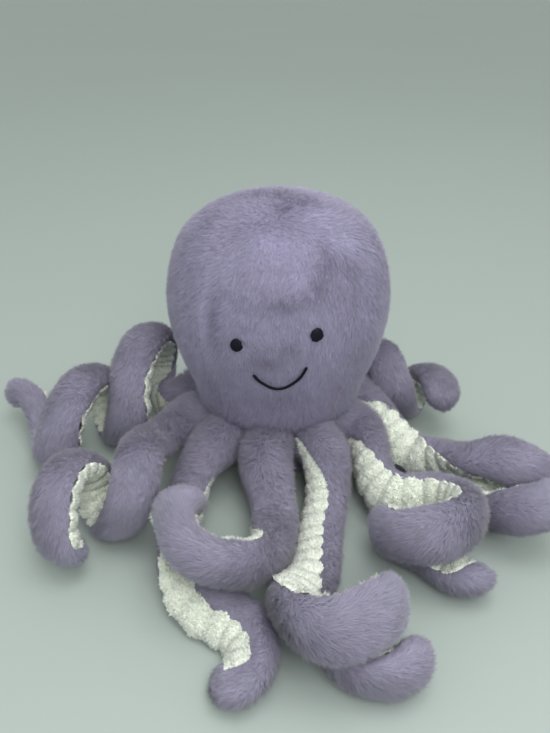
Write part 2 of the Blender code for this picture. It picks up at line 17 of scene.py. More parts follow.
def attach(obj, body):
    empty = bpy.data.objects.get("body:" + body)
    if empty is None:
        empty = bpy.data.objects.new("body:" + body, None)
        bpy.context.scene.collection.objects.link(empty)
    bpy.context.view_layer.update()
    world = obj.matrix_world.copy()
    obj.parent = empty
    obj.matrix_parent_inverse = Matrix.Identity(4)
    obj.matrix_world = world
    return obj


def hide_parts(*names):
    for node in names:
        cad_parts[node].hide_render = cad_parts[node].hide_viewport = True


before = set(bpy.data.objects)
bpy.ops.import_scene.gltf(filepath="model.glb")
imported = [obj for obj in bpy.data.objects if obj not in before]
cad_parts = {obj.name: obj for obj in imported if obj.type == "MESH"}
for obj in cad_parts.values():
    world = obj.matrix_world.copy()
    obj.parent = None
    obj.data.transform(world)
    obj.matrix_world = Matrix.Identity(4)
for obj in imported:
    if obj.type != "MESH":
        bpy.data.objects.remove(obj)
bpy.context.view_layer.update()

bl_info = {
    "name": "Plush Octopus",
    "version": (1, 0, 0),
    "blender": (4, 5, 0),
    "location": "3D View > Sidebar > Octopus",
    "description": "Grows the fur, chenille and stitching of a plush octopus round its CAD frame",
    "category": "Add Mesh",
}

BODY = "head_and_base"
UP = np.array((0.0, 0.0, 1.0))

# Head, neck and arms have the sizes and the tables of the CAD solids.
HEAD_WIDTH = 0.148
HEAD_HEIGHT = 0.142
HEAD_DEPTH_SHARE = 0.92
HEAD_BOTTOM = 0.0538
HEAD_WALL = 0.0025
HEAD_PROFILE_SHARES = (
    (0.44, -0.002), (0.58, 0.000), (0.70, 0.012), (0.76, 0.045), (0.82, 0.120), (0.90, 0.235),
    (0.97, 0.365), (1.00, 0.500), (0.985, 0.610), (0.93, 0.730), (0.84, 0.830), (0.70, 0.905),
    (0.50, 0.965), (0.25, 0.995), (0.00, 1.000),
)
GORES = ("head_front_gore", "head_right_gore", "head_back_gore", "head_left_gore")
NECK_RADIUS = 0.0312
NECK_HEIGHT = 0.0535
BASE_THICKNESS = 0.0025
ARM_WIDTH = 0.028
ROOT_THICKNESS_SHARE = 0.86
ARM_THICKNESS_SHARE = 0.64
TIP_THICKNESS_SHARE = 0.56
ROOT_LENGTH_SHARE = 0.07
SLOT_HALF_ANGLE = 62.0
TABLE_GAP = 0.0004
TIP_ROUND_LENGTH = 0.012
ROOT_GAP = 0.0004
ROOT_BELOW_HEAD = 0.0165
ROOT_STRAIGHT = 0.017
ROOT_DROP = 0.004
PATH_SAMPLES = 600

EYES = {"left_eye": (-19.5, 0.507), "right_eye": (17.2, 0.556)}
SMILE_PATH_SHARES = (
    (-12.2, 0.370), (-10.0, 0.340), (-7.0, 0.316), (-3.8, 0.298), (-0.5, 0.292), (3.4, 0.300),
    (7.5, 0.327), (10.6, 0.360), (13.2, 0.408),
)

ARMS = {
    "arm_left_back": (-116.0, (0.0, -0.2, -1.0), (
        (-2.64, 1.00, 0.93, 0.93, -0.4, -0.6, -0.6), (-3.32, 1.68, 0.64, 0.93, -0.6, -0.6, 0.3),
        (-3.50, 2.46, 1.25, 0.96, -0.3, -0.8, 0.5), (-3.43, 2.07, 2.21, 1.04, -0.1, -0.8, -0.6),
        (-3.60, 1.21, 2.57, 1.04, 0.2, 0.2, -1.0), (-3.84, 0.36, 2.04, 1.04, 0.4, 0.9, -0.3),
        (-3.89, -0.20, 1.21, 1.04, 0.2, 0.7, 0.7), (-4.18, 0.10, 0.50, 1.00, 0.1, -0.2, 1.0),
        (-4.64, 0.90, 0.78, 1.00, 0.0, -0.9, 0.4), (-4.86, 0.90, 1.60, 1.04, -0.1, -0.7, -0.7),
        (-5.11, -0.14, 1.96, 1.04, 0.2, 0.3, -0.9), (-5.36, -1.11, 1.54, 1.04, 0.3, 0.9, -0.2),
        (-5.54, -1.25, 0.82, 1.00, 0.2, 0.7, 0.7), (-5.96, -0.29, 0.43, 0.93, 0.2, 0.3, 0.9),
        (-6.43, 0.57, 0.71, 0.86, 0.5, 0.4, 0.7), (-6.96, 1.14, 0.93, 0.82, 0.6, 0.4, 0.3),
        (-7.57, 1.36, 0.82, 0.71, 0.5, 0.2, -0.3),
    )),
    "arm_left": (-80.0, (0.0, 0.0, -1.0), (
        (-2.68, -0.95, 1.21, 0.93, -0.3, -0.3, -0.9), (-2.96, -1.90, 1.61, 0.93, -0.4, -0.3, -0.9),
        (-3.07, -2.93, 2.04, 0.93, 0.1, 0.0, -1.0), (-3.11, -3.61, 1.71, 0.93, -0.1, 0.9, -0.4),
        (-3.39, -3.64, 0.96, 0.93, -0.2, 0.9, 0.4), (-3.82, -3.18, 0.43, 0.93, -0.1, -0.1, 1.0),
        (-4.29, -2.54, 0.75, 0.93, 0.0, -0.9, 0.5), (-4.43, -2.68, 1.50, 0.93, 0.0, -0.7, -0.7),
        (-4.61, -3.46, 1.93, 0.93, 0.3, 0.3, -0.8), (-4.68, -4.18, 1.57, 0.93, 0.4, 0.8, -0.3),
        (-4.57, -4.43, 0.89, 0.93, 0.4, 0.7, 0.6), (-4.32, -4.11, 0.50, 0.79, 0.2, 0.3, 0.9),
    )),
    "arm_front_left": (-44.0, (0.2, -0.1, -1.0), (
        (-2.04, -2.29, 0.79, 0.93, 0.3, -0.3, -0.9), (-2.18, -3.21, 0.50, 0.93, 0.6, -0.3, -0.7),
        (-2.18, -4.25, 0.50, 0.93, 0.9, -0.2, 0.3), (-1.86, -5.18, 0.46, 1.00, 0.5, -0.3, 0.8),
        (-1.32, -5.75, 0.43, 1.00, -0.1, -0.5, 0.9), (-0.75, -6.14, 0.43, 1.00, -0.5, -0.4, 0.8),
        (-0.50, -6.71, 0.43, 1.00, -0.6, -0.3, 0.8), (-0.71, -7.21, 0.43, 0.93, -0.6, -0.1, 0.8),
        (-1.14, -7.46, 0.39, 0.79, -0.4, 0.1, 0.9),
    )),
    "arm_front": (-8.0, (0.0, 0.0, -1.0), (
        (-0.11, -3.14, 0.79, 0.86, -0.1, 0.0, -1.0), (-0.11, -4.14, 0.86, 0.86, -0.5, 0.2, -0.9),
        (-0.29, -5.14, 1.29, 0.86, -0.7, 0.7, -0.2), (-0.86, -5.79, 1.79, 0.93, -0.2, 1.0, 0.1),
        (-1.57, -5.68, 1.93, 0.93, 0.2, 1.0, -0.1), (-2.00, -4.96, 1.93, 0.93, 0.3, 0.9, -0.3),
        (-2.07, -4.14, 1.71, 0.93, 0.1, 0.4, -0.9), (-2.00, -3.61, 1.32, 0.79, 0.0, -0.3, -1.0),
    )),
    "arm_front_right": (29.0, (-0.8, -0.5, -0.2), (
        (1.11, -2.71, 0.71, 0.93, -0.7, -0.5, 0.4), (0.93, -3.64, 0.50, 0.93, -0.6, -0.4, 0.7),
        (0.71, -4.86, 0.54, 1.00, -0.4, -0.4, 0.8), (0.36, -5.93, 1.00, 1.00, 0.1, -0.5, 0.8),
        (0.32, -6.79, 1.50, 1.04, 0.8, 0.4, 0.2), (0.79, -7.21, 1.75, 1.04, 0.3, 0.9, -0.4),
        (1.29, -7.18, 1.82, 1.04, 0.0, 0.9, -0.5), (1.79, -6.75, 1.68, 1.04, -0.4, 0.8, -0.5),
        (1.96, -6.25, 1.18, 0.96, -0.9, -0.2, 0.0), (1.68, -6.00, 0.68, 0.89, -0.4, -0.8, 0.5),
        (1.29, -6.21, 0.43, 0.93, 0.1, -0.4, 0.9), (1.18, -6.71, 0.43, 0.93, 0.5, 0.4, 0.8),
        (1.50, -7.18, 0.54, 1.00, 0.3, 0.9, 0.4), (2.11, -7.25, 0.68, 1.00, -0.2, 1.0, 0.1),
        (2.61, -6.86, 0.82, 0.86, -0.6, 0.8, -0.2),
    )),
    "arm_right_front": (66.0, (-0.6, -0.7, -0.4), (
        (2.21, -1.54, 1.04, 0.93, -0.7, -0.7, 0.0), (2.32, -2.32, 0.86, 0.93, -0.4, -0.9, 0.2),
        (2.75, -2.93, 0.82, 1.04, 0.0, -0.9, 0.4), (3.43, -3.14, 1.00, 1.04, 0.0, -0.9, 0.4),
        (3.93, -3.79, 1.39, 1.00, -0.9, -0.4, 0.0), (3.64, -4.75, 1.82, 1.04, -0.5, 0.9, -0.3),
        (2.96, -5.07, 1.82, 1.04, 0.0, 0.9, -0.4), (2.43, -4.68, 1.43, 1.00, 0.6, 0.8, 0.0),
        (2.32, -4.07, 0.93, 0.93, 0.9, -0.2, 0.3), (2.61, -3.86, 0.46, 0.86, 0.4, -0.4, 0.8),
        (3.18, -4.25, 0.43, 0.89, 0.2, 0.0, 1.0), (3.71, -4.89, 0.50, 0.93, -0.1, 0.5, 0.8),
        (4.32, -5.04, 0.64, 0.86, -0.4, 0.8, 0.4),
    )),
    "arm_right": (103.0, (-0.2, -0.8, -0.4), (
        (2.84, -0.43, 0.86, 0.93, 0.0, -0.8, 0.5), (3.46, -1.11, 0.64, 0.93, -0.1, -0.8, 0.5),
        (4.11, -1.64, 0.86, 1.00, -0.4, -0.8, -0.2), (4.61, -2.11, 1.32, 1.00, 0.0, -0.1, -1.0),
        (5.14, -2.54, 1.61, 1.00, 0.2, 0.5, -0.8), (5.75, -2.79, 1.43, 1.00, -0.3, 0.9, -0.2),
        (6.07, -2.39, 0.89, 0.93, -0.7, 0.1, 0.7), (5.79, -1.93, 0.46, 0.79, -0.3, -0.3, 0.9),
        (5.18, -2.04, 0.43, 0.79, 0.2, -0.4, 0.9), (4.75, -2.64, 0.46, 0.86, 0.5, 0.1, 0.8),
        (4.71, -3.32, 0.75, 0.93, 0.5, 0.5, 0.6), (5.07, -3.79, 1.21, 0.93, 0.2, 0.8, -0.4),
        (5.61, -3.93, 1.50, 0.89, 0.0, 0.8, -0.6), (6.25, -3.68, 1.50, 0.79, -0.3, 0.5, -0.8),
    )),
    "arm_right_back": (143.0, (0.7, -0.5, 0.5), (
        (2.07, 2.18, 0.75, 0.93, 0.0, -0.6, 0.8), (2.54, 2.50, 1.07, 0.93, 0.0, -1.0, 0.1),
        (2.64, 2.00, 1.79, 0.93, 0.0, -0.5, -0.9), (2.82, 1.11, 2.11, 0.93, -0.1, 0.7, -0.7),
        (3.02, 0.77, 1.66, 0.93, -0.2, 1.0, 0.0), (3.33, 1.00, 0.91, 0.93, 0.2, 0.3, 0.9),
        (3.64, 1.57, 0.46, 0.93, 0.1, -0.5, 0.9), (3.99, 1.78, 0.86, 0.93, -0.1, -1.0, 0.1),
        (4.18, 1.36, 1.39, 0.93, -0.2, -0.4, -0.9), (4.36, 0.75, 1.50, 0.93, -0.4, 0.6, -0.7),
        (4.43, 0.32, 1.07, 0.79, -0.4, 0.8, 0.3),
    )),
}

# How finely the arms and the head are sampled, and how their ends are closed
STATION_STEP = 0.0024
RING_POINTS = 30
CLOTH_POINTS = 40
TIP_ROUND_SHARES = (0.85, 0.7, 0.55, 0.4, 0.26, 0.15, 0.07, 0.02, 0.0)
TIP_POINT_SHARE = 0.02
ROOT_ROUND_SHARES = (0.999, 0.97, 0.90, 0.78, 0.60, 0.38, 0.18)
STEEPEST_TAPER = 4.0
MOST_INSET_SHARE = 0.8
PROFILE_SAMPLES = 400
POLE_RADIUS = 1e-5
SLOPE_STEP_SHARE = 1.0 / 24.0
WAVES = 7
WAVE_PITCH_SHARES = (0.7, 1.5)
WAVE_HEIGHT_SHARE = 0.6

# Ripples of the pile and of the stitches: the size, the seed and the strength of each
HEAD_SWIRL = ((0.055, 3, 0.45), (0.022, 4, 0.25))
HEAD_TONE = ((0.030, 5, 0.5), (0.012, 6, 0.4))
NECK_TONE = ((0.02, 7, 0.3),)
NECK_SWIRL = ((0.03, 8, 0.4),)
EYE_RAGGEDNESS = ((0.45, 9, 0.09),)
ARM_SWIRL = ((0.040, 30, 0.28), (0.016, 40, 0.22))
ARM_LENGTHS = ((0.03, 50, 0.10),)
ARM_TONE = ((0.034, 60, 0.45), (0.012, 70, 0.35))
STRIP_ROUGHNESS = ((0.0042, 80, 0.00035),)
STRIP_TONE = ((0.010, 90, 0.4),)

# Fur: how the strands stand, gather and vary, with their rise in degrees
STRAND_RISE = 26.0
STRAND_RISE_SPREAD = 13.0
STRAND_RISE_LIMITS = (8.0, 80.0)
STRAND_LENGTH_SHARES = (0.82, 1.15)
STRAND_WIDTH_SHARES = (0.75, 1.25)
STRAND_WANDER = 0.40
STRAND_SHADE = 0.10
STRAND_LIGHTNESS = 0.6
STRAND_BULGE = 0.35
MOST_STRANDS = 60000
TUFT_AREA = 5e-6
TUFT_WANDER = 0.45
TUFT_PULL = 0.30
TUFT_TIP_SHARE = 0.26
TUFT_SHADE = 0.20
TUFT_LIGHTNESS = 0.35
SQUARE_MILLIMETRES = 1e6

# A strand is a cone of three sides; cells are places in the map of its piece
CONE_TURNS = (0.0, 120.0, 240.0)
CONE_FACES = ((0, 1, 3), (1, 2, 3), (2, 0, 3))
CONE_REACH = (0.0, 0.0, 0.0, 1.0)
CONE_CELL = ((0.05, 0.05), (0.95, 0.05), (0.5, 0.38), (0.5, 0.95))
CONE_SHEET_SIZE = (1.0, 0.86)
CONE_SHEET_CORNER = (0.0, 0.13)
CLOTH_SHEET_EDGES = (0.01, 0.11)
TABLE_LIFT = 0.00025

# Head: its fur's depth, its seams, its fringe over the arms and its crown
HEAD_SEED = 20
HEAD_FUR_DEPTH = 0.0030
HEAD_ROWS = 70
GORE_COLUMNS = 42
SEAM_WIDTH = 0.0022
SEAM_DEPTH = 0.0010
SEAM_FADE = (0.004, 0.02)
FRINGE_SHARES = (-0.13, -0.01)
FRINGE_LENGTHENING = 0.95
FRINGE_WANDER = 0.8
FRINGE_LIFT = 22.0
CROWN_SHARES = (0.955, 0.995)
CROWN_COMB = 1.3
HEAD_COMB = 0.8
HEAD_TUFT_PULL = 0.22
HEAD_STRAND_SHARE = 0.9
FACE_PILE_SHARE = 0.35
# Strength of the painted sheen, highlights and shade of the brushed places
SHEEN_AND_SHADE_STRENGTH = 3.2
CLOTH_SINK = 0.0002
LINING_SHARE = 0.2
# The cloth under the pile takes mostly the darker root colour: painted shade under the strands
CLOTH_REACH = 0.15

# Embroidery: how far the fur keeps away, and the form of the stitches
EYE_MARGIN = 0.0022
SMILE_MARGIN = 0.0018
SMILE_CLEAR_SHARE = 0.55
SMILE_CLEAR_SAMPLES = 40
EYE_RINGS = 22
EYE_COLUMNS = 48
EYE_STITCHES = 13.0
EYE_STITCH_DEPTH = 0.05
EYE_RAG_DEPTH = 0.3
EYE_RISE_SHARE = 0.75
SMILE_SAMPLES = 260
SMILE_COLUMNS = 14
SMILE_RISE = 0.0013
SMILE_END = 0.0011
SMILE_POINT_SHARE = 0.004
SMILE_DEPTH_SHARE = 0.8
STITCH_PITCH = 0.00055
STITCH_DEPTH = 0.10

# Neck and base: the fringe is the fur that shows between the arms' roots
NECK_SEED = 61
NECK_ROWS = 22
NECK_COLUMNS = 72
NECK_FOOT = 0.0006
NECK_HEM = (0.0003, 0.0012)
NECK_FRINGE_HEIGHTS = (0.026, 0.044)
NECK_FRINGE_LIFT = 34.0
NECK_PILE_SHARE = 0.9
NECK_FRINGE_LENGTHENING = 1.1
# Painted shade: the neck's fur and cloth are darker, and its cloth takes more root colour, for the shade
# under the head and between the arms' roots
NECK_PAINTED_SHADE = -0.3
NECK_CLOTH_PAINTED_SHADE = -0.4
NECK_CLOTH_REACH = 0.1
BASE_SECTION = (
    (0.0, 0.0), (0.5, 0.0), (0.90, 0.0), (0.97, 0.0003), (1.0, 0.0010), (0.97, 0.0019),
    (0.90, BASE_THICKNESS), (0.0, BASE_THICKNESS),
)

# Arm fur: it stands up and swells near the root and is short beside the strip
ARM_SEED = 100
ROOT_SWELL = 0.0042
ROOT_REACH = (-0.050, -0.012)
ROOT_LIFT = 22.0
ROOT_LENGTHENING = 0.40
EDGE_SHORTENING = 0.55
ARM_DROOP = 0.10
UNDER_ARM_SHARE = 0.35
TABLE_FADE = (0.001, 0.004)
UNDERSIDE_FADE = (0.999, 0.6)
ARM_CLOTH_INSET = 0.0006
ARM_CLOTH_UNDER_STRIP = 0.0024

# Chenille strips: the ends of a strip, its ribs and its loops
STRIP_SEED = 200
STRIP_STEP = 0.0009
STRIP_COLUMNS = 23
STRIP_OPENING_POWER = 0.8
STRIP_END = (0.006, 0.022)
LEAST_SLOT_ANGLE = 2.0
LEAST_SHOWN_ANGLE = 3.0
LEAST_RIB_SHARE = 0.15
RIB_DRIFT = 0.30
RIB_DRIFT_LENGTH = 0.023
RIB_JITTER = 0.12
RIB_JITTER_LENGTH = 0.0083
RIB_POWER = 0.8
RIB_GROUND_SHARE = 0.35
RIB_EDGE_DROP = 0.55
EDGE_SCALLOP = 0.0026
STRIP_LIFT = 0.0003
STRIP_INSET = 0.0022
# The strip's cloth takes mostly the darker ground colour: painted shade under the loops
STRIP_REACH = 0.3
MIDDLE_RIB_SHARE = 0.7
# Painted shade in the creases between the ribs, a little lighter on the ribs' tops
RIB_CREASE_SHADE = 0.7
EDGE_TONE = 0.5
LOOP_HEIGHT_SHARES = (0.55, 1.2)
LOOP_RADIUS_SHARES = (0.8, 1.3)
LOOP_LEAN = 0.7
LOOP_EDGE_LENGTHENING = 0.15
LOOP_TONE = 1.7
LOOP_BULGE = 2.1
LOOP_SINK = 0.0002

# Stage: the floor's rings, the lamps as name, place, size and share of the power, and the camera
FLOOR_RINGS = (0.0, 0.3, 1.0, 3.0, 9.0)
FLOOR_COLUMNS = 64
SKY_COLOUR = (0.97, 1.0, 0.99, 1.0)
LAMPS = (
    ("overhead", (0.20, -0.30, 1.38), 0.8, 1.0),
    ("front", (0.10, -0.52, 0.50), 0.24, 0.20),
)
LAMP_TARGET = (0.0, -0.03, 0.05)
CAMERA_PLACE = (-0.0023, -0.4137, 0.3232)
CAMERA_PITCH = 31.3
CAMERA_CLIP = 0.01
SENSOR_HEIGHT = 36.0
LENS_SHARE = 685.0 / 733.0

# Each strip: where it begins and where it has its full width along the arm, half of its angle
# round the arm there, and how far its middle is turned from the flat side, in degrees, at stations
STRIPS = {
    "arm_left_back": (0.020, 0.060, 66.0, (
        (0.150, 0.0), (0.185, 40.0), (0.220, 30.0), (0.245, 0.0), (0.330, 0.0), (0.350, 30.0),
        (0.385, 0.0), (0.425, 70.0))),
    "arm_left": (0.020, 0.070, 66.0, (
        (0.040, 0.0), (0.065, -14.0), (0.120, -14.0), (0.150, 0.0), (0.200, 0.0), (0.235, 38.0),
        (0.290, 30.0))),
    "arm_front_left": (0.020, 0.070, 48.0, (
        (0.0, 30.0), (0.080, 60.0), (0.150, 48.0), (0.190, 34.0), (0.215, 8.0))),
    "arm_front": (0.020, 0.070, 62.0, ((0.130, 0.0), (0.160, 36.0))),
    "arm_front_right": (-0.002, 0.062, 60.0, (
        (0.0, -36.0), (0.030, -6.0), (0.065, 30.0), (0.130, 34.0), (0.190, 0.0))),
    "arm_right_front": (0.004, 0.060, 62.0, ((0.0, 0.0),)),
    "arm_right": (0.0, 0.034, 62.0, ((0.0, 0.0),)),
    "arm_right_back": (0.020, 0.070, 62.0, ((0.0, 0.0),)),
}

# Places where the head's pile was brushed aside, painted as sheen and shade in its tone, with painted
# highlights over the forehead and crown and painted shade round the eyes and low on the head: azimuth,
# height share, reach of both, and tone
SHEEN_AND_SHADE_PATCHES = (
    (28.0, 0.83, 5.0, 0.06, -0.9), (21.0, 0.76, 5.0, 0.05, -0.9), (42.0, 0.79, 7.0, 0.04, -0.5),
    (2.0, 0.69, 15.0, 0.035, -0.7), (-32.0, 0.62, 4.0, 0.10, -1.0), (-28.0, 0.50, 6.0, 0.06, -0.6),
    (4.0, 0.50, 5.0, 0.035, -0.9), (-8.0, 0.43, 9.0, 0.035, -0.8), (0.0, 0.20, 18.0, 0.05, -0.4),
    (2.0, 0.89, 22.0, 0.05, 0.7), (8.0, 0.78, 8.0, 0.05, 0.4), (-39.0, 0.60, 4.0, 0.16, 0.8),
    (-12.0, 0.78, 14.0, 0.06, 0.2), (46.0, 0.88, 9.0, 0.05, 0.5), (26.0, 0.44, 8.0, 0.10, 0.3),
    (10.0, 0.98, 100.0, 0.03, 0.6),
)


class FurSettings(bpy.types.PropertyGroup):
    arm_pile: FloatProperty(
        name="Arm pile", description="Length of the fur strands on the arms", default=0.0064,
        unit="LENGTH")
    head_pile: FloatProperty(
        name="Head pile", description="Length of the fur strands on the head", default=0.0052,
        unit="LENGTH")
    strand_width: FloatProperty(
        name="Strand width", description="Width of one lock of fibres at its foot", default=0.00046,
        unit="LENGTH")
    arm_density: FloatProperty(
        name="Arm density", description="Strands per square millimetre on the arms", default=3.6)
    head_density: FloatProperty(
        name="Head density", description="Strands per square millimetre on the head", default=6.0)
    tip_colour: FloatVectorProperty(
        name="Tip colour", description="Colour of the strands' tips", size=4, subtype="COLOR",
        default=(0.480, 0.458, 0.640, 1.0))
    # Painted shade: the roots are darker than the tips, standing for the shade down in the pile
    shaded_root_colour: FloatVectorProperty(
        name="Root colour", description="Colour down between the strands", size=4, subtype="COLOR",
        default=(0.385, 0.362, 0.520, 1.0))
    arm_tip_colour: FloatVectorProperty(
        name="Arm tip colour", description="Colour of the strands' tips on the arms", size=4,
        subtype="COLOR", default=(0.438, 0.424, 0.556, 1.0))
    # Painted shade: the arms' roots are darker than the tips, standing for the shade down in the pile
    arm_shaded_root_colour: FloatVectorProperty(
        name="Arm root colour", description="Colour down between the strands on the arms", size=4,
        subtype="COLOR", default=(0.366, 0.350, 0.468, 1.0))
    contrast: FloatProperty(
        name="Contrast", description="How much the tufts differ in lightness", default=0.10)


class ChenilleSettings(bpy.types.PropertyGroup):
    rib_pitch: FloatProperty(
        name="Rib pitch", description="Distance from one rib to the next", default=0.0112,
        unit="LENGTH")
    rib_height: FloatProperty(
        name="Rib height", description="How far a rib swells above the crease", default=0.0024,
        unit="LENGTH")
    nap_length: FloatProperty(
        name="Nap length", description="Length of the short loops on the ribs", default=0.0020,
        unit="LENGTH")
    nap_width: FloatProperty(
        name="Nap width", description="Width of one loop at its foot", default=0.0016,
        unit="LENGTH")
    nap_density: FloatProperty(
        name="Nap density", description="Loops per square millimetre", default=2.3)
    tip_colour: FloatVectorProperty(
        name="Tip colour", description="Colour of the loops' ends", size=4, subtype="COLOR",
        default=(0.955, 1.000, 0.905, 1.0))
    # Painted shade: the ground is darker than the loops' ends, standing for the shade down between the
    # loops
    shaded_ground_colour: FloatVectorProperty(
        name="Ground colour", description="Colour down between the loops", size=4, subtype="COLOR",
        default=(0.870, 0.925, 0.795, 1.0))


class FaceSettings(bpy.types.PropertyGroup):
    eye_width: FloatProperty(
        name="Eye width", description="Width of an embroidered eye", default=0.0077, unit="LENGTH")
    eye_height: FloatProperty(
        name="Eye height", description="Height of an embroidered eye", default=0.0088, unit="LENGTH")
    eye_dome: FloatProperty(
        name="Eye dome", description="How far an eye swells out of the fur", default=0.0030,
        unit="LENGTH")
    smile_width: FloatProperty(
        name="Smile width", description="Width of the satin stitch of the smile", default=0.0019,
        unit="LENGTH")
    thread_colour: FloatVectorProperty(
        name="Thread colour", description="Colour of the embroidery thread", size=4, subtype="COLOR",
        default=(0.006, 0.006, 0.012, 1.0))


class StageSettings(bpy.types.PropertyGroup):
    floor_colour: FloatVectorProperty(
        name="Floor colour", description="Colour of the plain floor", size=4, subtype="COLOR",
        default=(0.455, 0.520, 0.485, 1.0))
    sky_strength: FloatProperty(
        name="Sky strength", description="Brightness of the even light from all round", default=0.66)
    lamp_power: FloatProperty(
        name="Lamp power", description="Power of the large soft lamp", default=6.1, unit="POWER")


# Curves and surfaces


def spline(rows, samples):
    """Natural cubic spline through rows, whose knots stand by the root of each chord's length."""
    rows = np.asarray(rows, dtype=float)
    chords = np.linalg.norm(np.diff(rows[:, :3], axis=0), axis=1)
    spans = np.sqrt(chords)
    knots = np.concatenate([[0.0], np.cumsum(spans)])
    count = len(rows)
    system = np.eye(count)
    right = np.zeros(rows.shape)
    for i in range(1, count - 1):
        system[i, i - 1:i + 2] = spans[i - 1], 2.0 * (spans[i - 1] + spans[i]), spans[i]
        slopes = (rows[i + 1] - rows[i]) / spans[i] - (rows[i] - rows[i - 1]) / spans[i - 1]
        right[i] = 6.0 * slopes
    bends = np.linalg.solve(system, right)
    places = np.linspace(0.0, knots[-1], samples)
    i = np.clip(np.searchsorted(knots, places, side="right") - 1, 0, count - 2)
    a = ((knots[i + 1] - places) / spans[i])[:, None]
    b = 1.0 - a
    cubic = ((a ** 3 - a) * bends[i] + (b ** 3 - b) * bends[i + 1]) * (spans[i] ** 2 / 6.0)[:, None]
    return a * rows[i] + b * rows[i + 1] + cubic


def unit(vectors):
    return vectors / np.maximum(np.linalg.norm(vectors, axis=-1, keepdims=True), 1e-12)


def dot(a, b):
    return (a * b).sum(axis=-1, keepdims=True)


def distances(points):
    """How far along a line each of its points lies."""
    return np.concatenate([[0.0], np.cumsum(np.linalg.norm(np.diff(points, axis=0), axis=1))])


def between(places, stations, rows):
    """Rows that are given at stations, read at places between them."""
    return np.stack([np.interp(places, stations, column) for column in rows.T], axis=-1)


def circle(columns):
    """Points of a level circle of radius 1."""
    turn = np.linspace(0.0, math.tau, columns, endpoint=False)
    return np.stack([np.cos(turn), np.sin(turn), np.zeros(columns)], axis=-1)


def smooth_step(value, low, high):
    share = np.clip((value - low) / (high - low), 0.0, 1.0)
    return share * share * (3.0 - 2.0 * share)


def ripple(points, size, seed):
    """Wandering values of about -1 to 1 over space, with hills about a size apart."""
    rng = np.random.default_rng(seed)
    total = 0.0
    for _ in range(WAVES):
        way = unit(rng.normal(size=3)) * rng.uniform(*WAVE_PITCH_SHARES) * math.tau / size
        total = total + np.sin(points @ way + rng.uniform(0.0, math.tau))
    return total * math.sqrt(2.0 / WAVES) * WAVE_HEIGHT_SHARE


def ripples(points, kinds, index=0):
    """The sum of several ripples, each of them a size, a seed and a strength."""
    return sum(ripple(points, size, seed + index) * strength for size, seed, strength in kinds)


